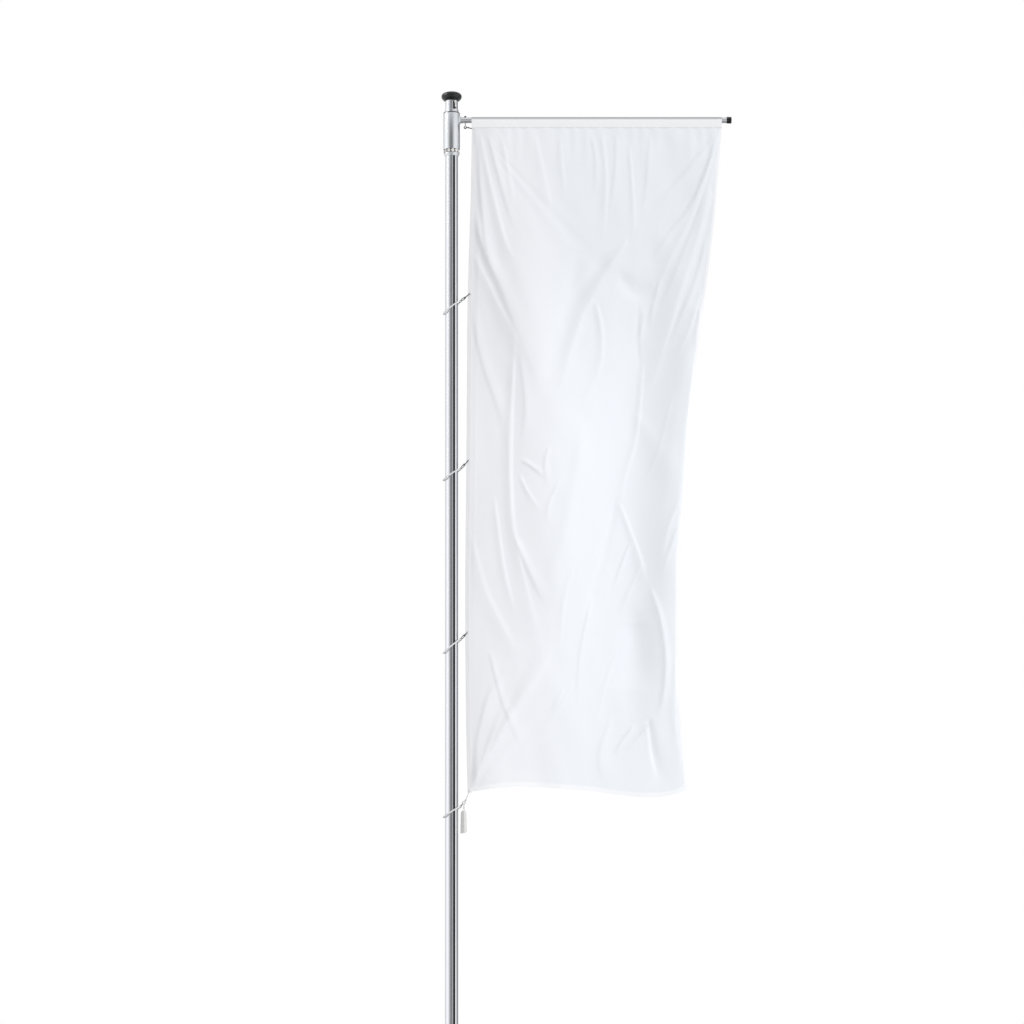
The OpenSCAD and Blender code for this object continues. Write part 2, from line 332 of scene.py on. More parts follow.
def platedSteel(name, hexCode, rough, spots=300):
    # zinc or nickel plate on steel: faintly mottled, a little uneven in gloss
    material, tree, shader = newMaterial(name)
    mottle = grain(tree, spots, detail=5.0)
    low, high = linear(hexCode), [min(1.0, c * 1.25) for c in linear(hexCode)]
    tint = addNode(tree, "ShaderNodeMix", {0: mottle, 6: low, 7: high}, data_type="RGBA").outputs[2]
    tree.links.new(tint, shader.inputs["Base Color"])
    setInputs(shader, Metallic=1.0)
    tree.links.new(remap(tree, mottle, 0.25, 0.75, rough - 0.06, rough + 0.1), shader.inputs["Roughness"])
    bump(tree, shader, mottle, 0.00004, 0.4)
    return material


def braidedCord(name, hexCode, strands, pitch):
    # polyester sheath of crossing strands: each bulges a little, and the gaps between them are darkened with
    # painted shade
    material, tree, shader = newMaterial(name)
    uv = addNode(tree, "ShaderNodeSeparateXYZ", {0: addNode(tree, "ShaderNodeTexCoord").outputs["UV"]})
    turns = calc(tree, "MULTIPLY", uv.outputs[0], strands)
    runs = calc(tree, "DIVIDE", uv.outputs[1], pitch)
    left = calc(tree, "SINE", calc(tree, "MULTIPLY", calc(tree, "ADD", turns, runs), math.pi))
    right = calc(tree, "SINE", calc(tree, "MULTIPLY", calc(tree, "SUBTRACT", turns, runs), math.pi))
    height = calc(tree, "MAXIMUM", calc(tree, "ABSOLUTE", left), calc(tree, "ABSOLUTE", right))
    # painted shade: the gaps between the strands are darkened to 0.62 of the cord's colour
    dark = [c * 0.62 for c in linear(hexCode)[:3]] + [1.0]
    shade = remap(tree, height, 0.45, 0.95)
    tint = addNode(tree, "ShaderNodeMix", {0: shade, 6: dark, 7: linear(hexCode)}, data_type="RGBA")
    tree.links.new(tint.outputs[2], shader.inputs["Base Color"])
    setInputs(shader, Roughness=0.75, Sheen_Weight=0.2, Specular_IOR_Level=0.3)
    bump(tree, shader, height, 0.0005, 0.7)
    return material


def wovenCloth(name, hexCode, clear, threads, rib=0.0, shadedTop=False, litAndShadedTint=None):
    # polyester that lets some light through: fine loops across and a silky, broad sheen
    material, tree, shader = newMaterial(name)
    uv = addNode(tree, "ShaderNodeTexCoord").outputs["UV"]
    parts = addNode(tree, "ShaderNodeSeparateXYZ", {0: uv})
    weft = calc(tree, "SINE", calc(tree, "MULTIPLY", parts.outputs[0], math.tau * threads))
    warpThreads = math.tau * threads * (0.4 if rib else 1)
    warp = calc(tree, "SINE", calc(tree, "MULTIPLY", parts.outputs[1], warpThreads))
    weave = calc(tree, "ADD", weft, calc(tree, "MULTIPLY", warp, 1 + rib))
    cloud = addNode(tree, "ShaderNodeTexNoise", {"Vector": uv, "Scale": 5.0, "Detail": 4.0}).outputs[0]
    low = [c * 0.97 for c in linear(hexCode)[:3]] + [1.0]
    tint = addNode(tree, "ShaderNodeMix", {0: cloud, 6: low, 7: linear(hexCode)}, data_type="RGBA").outputs[2]
    if litAndShadedTint:  # painted light and shade: a cooler, bluer white painted away from the mast, and painted shade that dulls the white near the arm and near the hoist edge
        where = addNode(tree, "ShaderNodeTexCoord").outputs["Object"]
        place = addNode(tree, "ShaderNodeSeparateXYZ", {0: where})
        # painted light: the white turns bluer further from the mast
        cool = remap(tree, place.outputs[0], 0.15, 1.0)
        tint = addNode(tree, "ShaderNodeMix", {0: cool, 6: tint, 7: linear(litAndShadedTint)},
                       data_type="RGBA").outputs[2]
        # painted shade: the white is multiplied darker towards the arm above and towards the hoist edge
        dull = calc(tree, "MULTIPLY", remap(tree, place.outputs[2], 5.9, 7.2, 1.0, 0.94),
                    remap(tree, place.outputs[0], 0.09, 0.35, 0.93, 1.0))
        grey = addNode(tree, "ShaderNodeCombineXYZ", {0: dull, 1: dull, 2: dull}).outputs[0]
        tint = addNode(tree, "ShaderNodeMix", {0: 1.0, 6: tint, 7: grey}, data_type="RGBA",
                       blend_type="MULTIPLY").outputs[2]
    if shadedTop:  # painted shade: what faces up is greyed, down to 0.4 of the cloth's colour
        normal = addNode(tree, "ShaderNodeNewGeometry").outputs["Normal"]
        upward = addNode(tree, "ShaderNodeSeparateXYZ", {0: normal})
        grey = [c * 0.4 for c in linear(hexCode)[:3]] + [1.0]
        topShade = remap(tree, upward.outputs[2], -0.35, 0.55)
        tint = addNode(tree, "ShaderNodeMix", {0: topShade, 6: tint, 7: grey}, data_type="RGBA").outputs[2]
    tree.links.new(tint, shader.inputs["Base Color"])
    setInputs(shader, Roughness=0.62, Sheen_Weight=0.15, Specular_IOR_Level=0.25)
    bump(tree, shader, weave, 0.00005, 0.35)
    through = addNode(tree, "ShaderNodeBsdfTranslucent", {"Color": tint})
    both = addNode(tree, "ShaderNodeMixShader", {0: clear, 1: shader.outputs[0], 2: through.outputs[0]})
    tree.links.new(both.outputs[0], tree.nodes["Material Output"].inputs["Surface"])
    return material


mastAluminium = extrudedAluminium("anodised aluminium, drawn upright", 2, 0.2)
armAluminium = extrudedAluminium("anodised aluminium, drawn level", 0, 0.3)
capGloss = mouldedPlastic("glossy black cap", "#080c0d", 0.2, 0.55, 1200)
satinBlack = mouldedPlastic("black moulded end cap", "#0d0d0f", 0.35, 0.3)
whiteNylon = mouldedPlastic("white acetal", "#eeece6", 0.35, 0.4)
stainless = platedSteel("stainless steel", "#8d8f92", 0.28)
halyardCord = braidedCord("braided halyard", "#efefec", 8, 0.006)
knotCord = braidedCord("waxed end of the halyard", "#5d5e54", 8, 0.006)
loopCord = braidedCord("braided loop cord", "#f3f3f3", 8, 0.007)
whipCord = braidedCord("thin pale cord", "#dddcd8", 6, 0.004)
knotGrey = braidedCord("grey whipping twine", "#a5a5a1", 6, 0.003)
flagPolyester = wovenCloth("knitted flag polyester", "#fcfcff", 0.2, 900, litAndShadedTint="#f8fbff")
edgePolyester = wovenCloth("doubled edge of the flag", "#fefeff", 0.0, 900, litAndShadedTint="#fcfdff")
# the cloth round the arm gets painted shade on what faces up
hemPolyester = wovenCloth("flag polyester round the arm", "#fefeff", 0.0, 900, shadedTop=True)
bandWebbing = wovenCloth("polyester webbing", "#ebeaec", 0.0, 500, rib=0.8)
# painted shade: a near-black material stands for the shade deep in the groove
grooveShade = mouldedPlastic("painted shade deep in the groove", "#020202", 0.9, 0.03)
paintedWeight = mouldedPlastic("dull grey coat on the weight", "#dddcd9", 0.6, 0.25, 400)
paleSteel = platedSteel("bright zinc plate", "#c3c5c6", 0.35)
beadGrey = mouldedPlastic("pale nylon ferrule", "#f8f8f8", 0.5, 0.2)
hookGrey = mouldedPlastic("grey acetal hook", "#8d9092", 0.4, 0.35)
hookDark = mouldedPlastic("dark grey acetal hook", "#63666a", 0.4, 0.4)
brightEyelet = platedSteel("bright nickel eyelet", "#e6e7e9", 0.3)
strapGrey = mouldedPlastic("pale grey strap", "#d2cecd", 0.55, 0.3)
darkSteel = platedSteel("blackened steel", "#4b4d50", 0.3)
whiteThread = mouldedPlastic("sewing thread", "#e6e5e1", 0.7, 0.2, 6000)
print("materials ready")


# mast

mastSet = dict(height=8010, radius=37.5, wall=2.8, slot=12.2, slotAngle=-67, channelAt=28, channel=7,
               channelWall=2.5, throatEnd=37.1)
capSet = dict(level=8022, width=120, rise=29, side=20, drop=40.02, lowerSide=26, mastTop=8010, seam=0.5)


def mastSection(z):
    s = mastSet
    half = s["slot"] / 2
    lip = math.degrees(math.asin(half / s["radius"]))
    throat = math.degrees(math.asin(half / s["channel"]))
    outer = arc((0, 0), s["radius"], lip, 360 - lip, 176)
    outer += arc((s["channelAt"], 0), s["channel"], -throat, -360 + throat, 28)
    inside = s["radius"] - s["wall"]
    boss = s["channel"] + s["channelWall"]
    meet = (inside ** 2 - boss ** 2 + s["channelAt"] ** 2) / (2 * s["channelAt"])
    inner = math.degrees(math.acos(meet / inside))
    fromBoss = math.degrees(math.acos((meet - s["channelAt"]) / boss))
    hole = arc((0, 0), inside, inner, 360 - inner, 120)
    hole += arc((s["channelAt"], 0), boss, -fromBoss, -360 + fromBoss, 28)
    turn = Matrix.Rotation(math.radians(s["slotAngle"]), 3, "Z")
    loops = []
    for loop, radius in ((outer, 0.35), (hole, 1.5)):
        loops.append([turn @ Vector((a * mm, b * mm, z * mm)) for a, b in rounded(loop, radius)])
    return loops


mastTube = prism("MastTube", mastSection(0), (0, 0, mastSet["height"] * mm), sharp=35)
finished(mastTube, mastAluminium, "mast", "mast_tube")
# the channel and throat walls of the groove get the painted shade
mastTube.data.materials.append(grooveShade)
slotTurn = Matrix.Rotation(math.radians(mastSet["slotAngle"]), 3, "Z")
for face in mastTube.data.polygons:
    spot = slotTurn.inverted() @ face.center * 1000
    deep = math.hypot(spot.x - mastSet["channelAt"], spot.y) < mastSet["channel"] + 0.1
    throat = mastSet["channelAt"] < spot.x < mastSet["throatEnd"] and abs(spot.y) < mastSet["slot"] / 2 + 0.1
    if (deep or throat) and abs(face.normal.z) < 0.5:
        face.material_index = 1


def capArcs(side, rise):
    # from the rim to the middle: a side arc and the flatter arc that meets it
    sideX = capSet["width"] / 2 - side
    fall = (sideX ** 2 - (rise - side) ** 2) / (2 * (rise - side))
    broad = rise + fall
    lean = math.degrees(math.atan2(fall, sideX))
    points = arc((sideX, 0), side, 1, lean, 22)
    return points + arc((0, -fall), broad, lean, 90, 30)[1:]


def capProfile():
    s = capSet
    mouth = mastSet["radius"] + 0.2
    bore = mastSet["radius"] - mastSet["wall"]
    crown = capArcs(s["side"], s["rise"])
    under = [(r, -h) for r, h in capArcs(s["lowerSide"], s["drop"]) if r > mouth + 1.2]
    lip = under[-1][1] + 0.4
    shoulder = s["mastTop"] - s["level"]
    seam = [(s["width"] / 2 - s["seam"], 0.3), (s["width"] / 2 - s["seam"], -0.3)]
    inside = [(mouth + 0.6, lip - 0.9), (mouth, lip), (mouth, shoulder), (bore, shoulder),
              (bore, shoulder + 30), (0, shoulder + 30)]
    outline = crown[::-1] + seam + under + inside
    return [(max(r, 0) * mm, h * mm) for r, h in outline]


mastCap = lathe("MastCap", capProfile(), (0, 0, capSet["level"] * mm), sides=128, sharp=38)
finished(mastCap, capGloss, "mast", "mast_cap")
nodes["foot_plug"].data.materials.clear()
nodes["foot_plug"].data.materials.append(satinBlack)


def inSlot(x, y, z):
    # a point given from the mast's axis with X through the slot, in millimetres
    return slotTurn @ Vector((x * mm, y * mm, z * mm))


halyardSet = dict(radius=3, top=8021, bottom=30, channelTop=8002)


def halyardPath():
    s = halyardSet
    reach = mastSet["channelAt"]
    path = [inSlot(0, 0, z) for z in np.linspace(s["bottom"], s["top"], 60)]
    for k in range(1, 16):
        a = math.pi * (1 - k / 16)
        path.append(inSlot(reach / 2 + reach / 2 * math.cos(a), 0, s["top"] + reach / 2 * math.sin(a)))
    path += [inSlot(reach, 0, z) for z in np.linspace(s["top"], s["channelTop"], 6)]
    return path


halyard = sweep("Halyard", halyardPath(), halyardSet["radius"] * mm, sides=14)
finished(halyard, halyardCord, "mast", "halyard")
print("mast ready")


# repeats: one tree puts a small part on every point and turns it along the point's own directions

def repeatTree():
    tree = bpy.data.node_groups.new("repeat a part", "GeometryNodeTree")
    face = tree.interface
    face.new_socket(name="Geometry", in_out="OUTPUT", socket_type="NodeSocketGeometry")
    sockets = {}
    for label, kind in (("Places", "Geometry"), ("Part", "Object"), ("Material", "Material"), ("Seed", "Int"),
                        ("Turn", "Float"), ("Size spread", "Float")):
        sockets[label] = face.new_socket(name=label, in_out="INPUT", socket_type="NodeSocket" + kind)
    given = addNode(tree, "NodeGroupInput").outputs
    along = addNode(tree, "GeometryNodeInputNamedAttribute", {"Name": "along"}, data_type="FLOAT_VECTOR")
    facing = addNode(tree, "GeometryNodeInputNamedAttribute", {"Name": "facing"}, data_type="FLOAT_VECTOR")
    upright = addNode(tree, "FunctionNodeAlignRotationToVector", {"Vector": along.outputs[0]}, axis="Z")
    turned = addNode(tree, "FunctionNodeAlignRotationToVector",
                     {"Rotation": upright.outputs[0], "Vector": facing.outputs[0]}, axis="X", pivot_axis="Z")
    back = addNode(tree, "ShaderNodeMath", {0: given["Turn"], 1: -1.0}, operation="MULTIPLY").outputs[0]
    swing = addNode(tree, "FunctionNodeRandomValue", {2: back, 3: given["Turn"], "Seed": given["Seed"]},
                    data_type="FLOAT").outputs[1]
    extra = addNode(tree, "FunctionNodeAxisAngleToRotation", {"Axis": (0, 1, 0), "Angle": swing}).outputs[0]
    way = addNode(tree, "FunctionNodeRotateRotation", {0: turned.outputs[0], 1: extra},
                  rotation_space="LOCAL").outputs[0]
    least = addNode(tree, "ShaderNodeMath", {0: 1.0, 1: given["Size spread"]},
                    operation="SUBTRACT").outputs[0]
    size = addNode(tree, "FunctionNodeRandomValue", {2: least, 3: 1.0, "Seed": given["Seed"]},
                   data_type="FLOAT").outputs[1]
    part = addNode(tree, "GeometryNodeObjectInfo", {"Object": given["Part"], "As Instance": True})
    put = addNode(tree, "GeometryNodeInstanceOnPoints", {"Points": given["Places"], "Rotation": way,
                                                         "Instance": part.outputs["Geometry"], "Scale": size})
    real = addNode(tree, "GeometryNodeRealizeInstances", {"Geometry": put.outputs[0]})
    paint = addNode(tree, "GeometryNodeSetMaterial", {"Geometry": real.outputs[0],
                                                      "Material": given["Material"]})
    addNode(tree, "NodeGroupOutput", {"Geometry": paint.outputs[0]})
    return tree, sockets


repeater, repeatSockets = repeatTree()


def repeated(name, part, places, alongs, facings, material, seed=7, turn=0.0, spread=0.0):
    mesh = bpy.data.meshes.new(name)
    mesh.from_pydata([tuple(p) for p in places], [], [])
    for label, vectors in (("along", alongs), ("facing", facings)):
        layer = mesh.attributes.new(label, "FLOAT_VECTOR", "POINT")
        layer.data.foreach_set("vector", np.array([tuple(v) for v in vectors], float).ravel())
    piece = bpy.data.objects.new(name, mesh)
    scene.collection.objects.link(piece)
    modifier = piece.modifiers.new("repeat", "NODES")
    modifier.node_group = repeater
    values = {"Part": part, "Material": material, "Seed": seed, "Turn": math.radians(turn),
              "Size spread": spread}
    for label, value in values.items():
        modifier[repeatSockets[label].identifier] = value
    baked(piece)
    bpy.data.objects.remove(part)
    return piece


# carriage: the part that is hoisted and that the sleeve turns on

carriageSet = dict(low=7655, coneHeight=20, cageHeight=20, tube=40.9, bore=37.6, top=7924, ring=41.5,
                   ringHeight=14, rollers=12, firstRoller=9, roller=18.5, rollerOut=5.7, rollerUp=10.5)


def turnedPart(name, corners, radius, z, sharp=32, sides=112):
    profile = [(r * mm, h * mm) for r, h in rounded(corners, radius)]
    return lathe(name, profile, (0, 0, z * mm), sides=sides, sharp=sharp)


def makeCarriage():
    s = carriageSet
    cageLow = s["low"] + s["coneHeight"]
    tube = turnedPart("CarriageTube", [(s["bore"], 0), (s["tube"], 0), (s["tube"], s["top"] - cageLow),
                                       (s["bore"], s["top"] - cageLow)], 0.4, cageLow)
    finished(tube, mastAluminium, "carriage", "carriage_tube")
    ring = turnedPart("GlideRing", [(s["bore"], 0), (s["ring"], 0), (s["ring"], 4), (s["ring"] - 0.7, 4.8),
                                    (s["ring"] - 0.7, 6.6), (s["ring"], 7.4), (s["ring"], s["ringHeight"]),
                                    (s["bore"], s["ringHeight"])], 0.9, s["top"])
    finished(ring, mastAluminium, "carriage", "glide_ring")
    cone = turnedPart("SeatCone", [(s["bore"], 0), (39.2, 0), (46.4, 16), (47, 17), (47, s["coneHeight"]),
                                   (s["bore"], s["coneHeight"])], 1.2, s["low"])
    finished(cone, mastAluminium, "carriage", "seat_cone")
    nodes["roller_cage"].data.materials.clear()
    nodes["roller_cage"].data.materials.append(satinBlack)
    out = s["rollerOut"]
    half = s["roller"] / 2
    wheel = lathe("wheel", [(r * mm, h * mm) for r, h in rounded(
        [(1.6, 0.4), (2.6, 0.4), (3.2, 1.2), (half, 1.2), (half, out), (4.4, out), (3.6, out - 1.2),
         (1.6, out - 1.2)], 0.7)], sides=40)
    pins = lathe("pins", [(r * mm, h * mm) for r, h in rounded(
        [(0, 0), (1.5, 0), (1.5, out - 0.4), (0, out - 0.4)], 0.4)], sides=20)
    places, alongs, facings = [], [], []
    for k in range(s["rollers"]):
        a = math.radians(s["firstRoller"]) + math.tau * k / s["rollers"]
        outside = Vector((math.cos(a), math.sin(a), 0))
        places.append(outside * (s["tube"] + 0.3) * mm + Vector((0, 0, (cageLow + s["rollerUp"]) * mm)))
        alongs.append(outside)
        facings.append(Vector((0, 0, 1)))
    rollers = repeated("Rollers", wheel, places, alongs, facings, whiteNylon, seed=3)
    finished(rollers, whiteNylon, "carriage", "rollers")
    axles = repeated("RollerPins", pins, places, alongs, facings, stainless, seed=4)
    finished(axles, stainless, "carriage")


makeCarriage()


sliderSet = dict(clear=0.55, head=6.5, length=60)


def makeSlider():
    s = sliderSet
    reach = mastSet["channelAt"]
    face = mastSet["throatEnd"]
    half = mastSet["slot"] / 2 - s["clear"]
    low = carriageSet["low"] + carriageSet["coneHeight"] + carriageSet["cageHeight"]
    head = arc((reach, 0), s["head"], 60, 300, 24)
    outline = rounded([(face, half), *head, (face, -half)], 0.6)
    loop = [inSlot(a, b, low) for a, b in outline]
    slider = prism("GrooveSlider", [loop], (0, 0, s["length"] * mm))
    finished(slider, whiteNylon, "carriage", "groove_slider")


makeSlider()

endSet = dict(radius=3, top=8001.5, knotOut=44.5, knotBeside=5, knotUp=6)


def makeHalyardEnd():
    s = endSet
    ringTop = carriageSet["top"] + carriageSet["ringHeight"]
    knot = inSlot(s["knotOut"], s["knotBeside"], ringTop + s["knotUp"])
    reach = mastSet["channelAt"]
    line = [inSlot(reach, 0, z) for z in (s["top"], 7997)]
    line += [inSlot(34, 1, 7990), inSlot(39.6, 4, 7983), inSlot(40.9, 6.6, 7973), inSlot(41.1, 7.0, 7958)]
    line.append(knot)
    rope = sweep("rope", curvedPath(line, 8), s["radius"] * mm, sides=16)
    wraps = []
    for k in range(40):
        a = math.tau * 2.25 * k / 39
        wraps.append(knot + slotTurn @ Vector((2.6 * mm * math.cos(a), 3.1 * mm * math.sin(a),
                                               (k / 39 - 0.5) * 5.5 * mm)))
    knotBall = sweep("knot", wraps, 2.2 * mm, sides=12)
    tail = sweep("tail", curvedPath([knot, knot + inSlot(1, 3, -3), knot + inSlot(2, 4, -4.2)], 5),
                 1.6 * mm, sides=10)
    rope.name = "HalyardEnd"
    finished(rope, halyardCord, "carriage", "halyard_end")
    finished(joined("HalyardKnot", [knotBall, tail]), knotCord, "carriage")


makeHalyardEnd()
print("carriage ready")


# boom: sleeve, saddle, socket and arm

sleeveSet = dict(low=7695, high=7915, radius=49, bore=46, rim=5)
armSet = dict(level=7878, radius=17.5, wall=2, start=51.5, reach=1623, capWidth=40, capLength=29, eyeAt=81)


def makeSleeve():
    s = sleeveSet
    high = s["high"] - s["low"]
    wall = [(s["bore"], 0), (s["radius"], 0), (s["radius"], high), (s["bore"], high)]
    sleeve = turnedPart("BoomSleeve", wall, 0.8, s["low"], sides=160)
    finished(sleeve, mastAluminium, "boom", "boom_sleeve")
    inner = carriageSet["tube"] + 0.1
    out = s["radius"] - 0.5
    bush = turnedPart("UpperBush", [(inner, -25), (s["bore"] - 0.01, -25), (s["bore"] - 0.01, 0), (out, 0),
                                    (out, s["rim"]), (inner, s["rim"])], 0.7, s["high"])
    finished(bush, satinBlack, "boom", "upper_bush")


makeSleeve()


saddleSet = dict(face=51.5, outline=((51.5, 19.4), (51.3, 22.4), (50.9, 25.0), (50.4, 26.5)), foot=27,
                 bore=17.4, skin=1.2, steps=72)


def onSleeve(y, gap):
    return math.sqrt(sleeveSet["radius"] ** 2 - y * y) + gap


def makeSaddle():
    # a casting that lies round the sleeve and runs out into the arm's socket
    s = saddleSet
    turned = s["steps"]
    circle = [(math.cos(math.tau * k / turned), math.sin(math.tau * k / turned)) for k in range(turned)]
    rings = [[(x, r * c, r * h) for c, h in circle] for x, r in s["outline"]]
    foot = [(onSleeve(s["foot"] * c, s["skin"]), s["foot"] * c, s["foot"] * h) for c, h in circle]
    edge = [(onSleeve(y, 0.02), y, z) for _, y, z in foot]
    inside = [(onSleeve(s["bore"] * c, 0.02), s["bore"] * c, s["bore"] * h) for c, h in circle]
    mouth = [(s["face"], y, z) for _, y, z in inside]
    for ring in rings[1:]:
        for k in range(turned):
            x, y, z = ring[k]
            least = onSleeve(y, s["skin"])
            ring[k] = (max(x if abs(y) < 20 else least + (x - 50.2) * 0.4, least), y, z)
    loops = [mouth, *rings, foot, edge, inside]
    verts, faces = [], []
    for ring in loops:
        verts += [(x * mm, y * mm, (armSet["level"] + z) * mm) for x, y, z in ring]
    for level in range(len(loops)):
        after = (level + 1) % len(loops)
        for k in range(turned):
            m = (k + 1) % turned
            faces.append((level * turned + k, level * turned + m, after * turned + m, after * turned + k))
    saddle = outward(meshPiece("ArmSaddle", verts, faces, sharp=40))
    finished(saddle, armAluminium, "boom", "arm_saddle")


makeSaddle()


def levelPart(name, corners, radius, x, sharp=32, sides=96):
    profile = [(r * mm, h * mm) for r, h in rounded(corners, radius)]
    return lathe(name, profile, (x * mm, 0, armSet["level"] * mm), (1, 0, 0), sides, sharp)


def makeArm():
    s = armSet
    r = s["radius"]
    socket = levelPart("ArmSocket", [(r, 0), (r + 2, 0), (r + 2, 16), (r, 16)], 0.7, s["start"])
    finished(socket, armAluminium, "boom", "arm_socket")
    length = s["reach"] - s["start"]
    wall = [(r - s["wall"], 0), (r - 0.02, 0), (r - 0.02, length), (r - s["wall"], length)]
    tube = levelPart("ArmTube", wall, 0.3, s["start"])
    drill = lathe("drill", [(0, -0.03), (0.0032, -0.03), (0.0032, 0.03), (0, 0.03)],
                  (s["eyeAt"] * mm, 0, s["level"] * mm), sides=32)
    cut = tube.modifiers.new("bolt hole", "BOOLEAN")
    cut.object = drill
    cut.solver = "EXACT"
    baked(tube, 32)
    bpy.data.objects.remove(drill)
    finished(tube, armAluminium, "boom", "arm_tube")
    w, h = s["capWidth"] / 2, s["capLength"]
    plug = r - s["wall"] - 0.05
    corners = [(0, -20), (plug - 1, -20), (plug, -18), (plug, 0)]
    corners += [(w - 0.6, 0), (w, 1.2), (w, 6.5), (w - 0.8, 7.2), (w - 0.8, 8.3), (w, 9)]
    corners += [(w, h - 3.5), (w - 2.6, h - 0.6), (w - 6, h), (7, h), (6, h - 1), (0, h - 1)]
    cap = levelPart("ArmEndCap", corners, 0.8, s["reach"], sharp=30)
    finished(cap, capGloss, "boom", "arm_end_cap")


makeArm()

eyeSet = dict(drop=43, eye=7, wire=1.9)


def makeEyeBolt():
    s = eyeSet
    x, z = armSet["eyeAt"], armSet["level"]
    low = z - s["drop"]
    ring = [Vector(((x + s["eye"] * math.sin(a)) * mm, 0, (low + s["eye"] * math.cos(a)) * mm))
            for a in np.linspace(0, math.tau, 49)[:-1]]
    thick = [(s["wire"] + 0.6 - 0.9 * math.cos(a)) * mm for a in np.linspace(0, math.tau, 49)[:-1]]
    eye = sweep("eye", ring, thick, 16, closed=True)
    top = s["drop"] - s["eye"] + armSet["radius"] + 9
    corners = [(0, 0), (2.2, 0), (3, 1.4), (3, 10)]
    for k in range(int(top - 11)):  # thread of 1 mm pitch
        corners += [(3.0, 10.2 + k), (2.62, 10.7 + k)]
    corners += [(3, top - 1), (2.4, top), (0, top)]
    shank = lathe("shank", [(r * mm, h * mm) for r, h in corners],
                  (x * mm, 0, (low + s["eye"]) * mm), sides=32)
    eye.name, shank.name = "EyeBolt", "EyeBoltShank"
    finished(eye, darkSteel, "boom", "eye_bolt")
    finished(shank, paleSteel, "boom")
    turned = rounded([(6.5 * math.cos(math.radians(a)), 6.5 * math.sin(math.radians(a)))
                      for a in range(0, 360, 60)], 0.7)
    base = (z + armSet["radius"]) * mm
    hole = arc((0, 0), 3.02, 360, 15, 23)
    nut = prism("EyeNut", [[(x * mm + a * mm, b * mm, base) for a, b in turned],
                           [(x * mm + a * mm, b * mm, base) for a, b in hole]], (0, 0, 0.006))
    bevel = nut.modifiers.new("edges", "BEVEL")
    bevel.width = 0.0005
    bevel.segments = 2
    bevel.limit_method = "ANGLE"
    baked(nut, 40)
    finished(nut, darkSteel, "boom", "eye_nut")


makeEyeBolt()
print("boom ready")


# banner outline, shared by the cloth, its edges and the fittings on them (millimetres)

bannerSet = dict(
    hoistEdge=((3897, 93), (4056, 89), (4430, 83), (5010, 80), (5835, 87), (6190, 90), (6790, 95),
               (7090, 103), (7392, 113), (7825, 121)),
    freeEdge=((3912, 1343), (4056, 1334), (4344, 1309), (4633, 1295), (4954, 1299), (5305, 1316),
              (5569, 1344), (6132, 1388), (6609, 1452), (7181, 1532), (7837, 1594)),
    lowerEdge=((0, 3903), (0.2, 3934), (0.5, 3914), (0.95, 3892), (1, 3912)),
    eyelets=(7825, 6825, 5832, 4823, 3908), eyeletIn=10, band=20, pocket=(118, 1594), seam=7837)


def along(table, value):
    # reads a smooth value from a table of (place, value) pairs
    places = [p[0] for p in table]
    values = [p[1] for p in table]
    slopes = np.gradient(np.array(values, float), np.array(places, float))
    k = int(np.clip(np.searchsorted(places, value) - 1, 0, len(places) - 2))
    run = places[k + 1] - places[k]
    t = min(max((value - places[k]) / run, 0.0), 1.0)
    a, b = values[k], values[k + 1]
    return (a * (1 + 2 * t) * (1 - t) ** 2 + slopes[k] * run * t * (1 - t) ** 2
            + b * t * t * (3 - 2 * t) - slopes[k + 1] * run * t * t * (1 - t))


def eyelet(k):
    z = bannerSet["eyelets"][k]
    return Vector((along(bannerSet["hoistEdge"], z) + bannerSet["eyeletIn"], z))


def beforeEyelet(k, start):
    way = (eyelet(k) - start).normalized()
    return eyelet(k) - way * bannerSet["eyeletIn"]


class Link:
    # a line from a to b in the plane of the banner, with a place for points measured along and beside it
    def __init__(self, a, b):
        self.a = Vector(a)
        self.length = (Vector(b) - self.a).length
        way = (Vector(b) - self.a).normalized()
        self.along = Vector((way.x, 0, way.y))
        self.beside = Vector((way.y, 0, -way.x))

    def at(self, forward, side=0.0, y=0.0):
        start = Vector((self.a.x, 0, self.a.y))
        return (start + self.along * forward + self.beside * side + Vector((0, y, 0))) * mm

    def turned(self, name, corners, start, radius=0.4, sides=32, sharp=32):
        profile = [(r * mm, h * mm) for r, h in rounded(corners, radius)]
        return lathe(name, profile, self.at(start), self.along, sides, sharp)


def ringRound(link, centre, radius, wire, upright, sides=14):
    # a ring whose plane holds the link's line: upright rings also hold the Y axis
    line = []
    for k in range(36):
        a = math.tau * k / 36
        side, deep = (0.0, math.sin(a)) if upright else (math.sin(a), 0.0)
        line.append(link.at(centre + radius * math.cos(a), radius * side, radius * deep))
    return sweep("ring", line, wire * mm, sides, closed=True)


# loops round the mast, each with a ferrule at its lower end

loopSet = dict(levels=(6742, 5748, 4741, 3786), tilts=(38, 34, 39, 32), x=1.5, reach=48, halfWidth=46.5,
               cord=8)


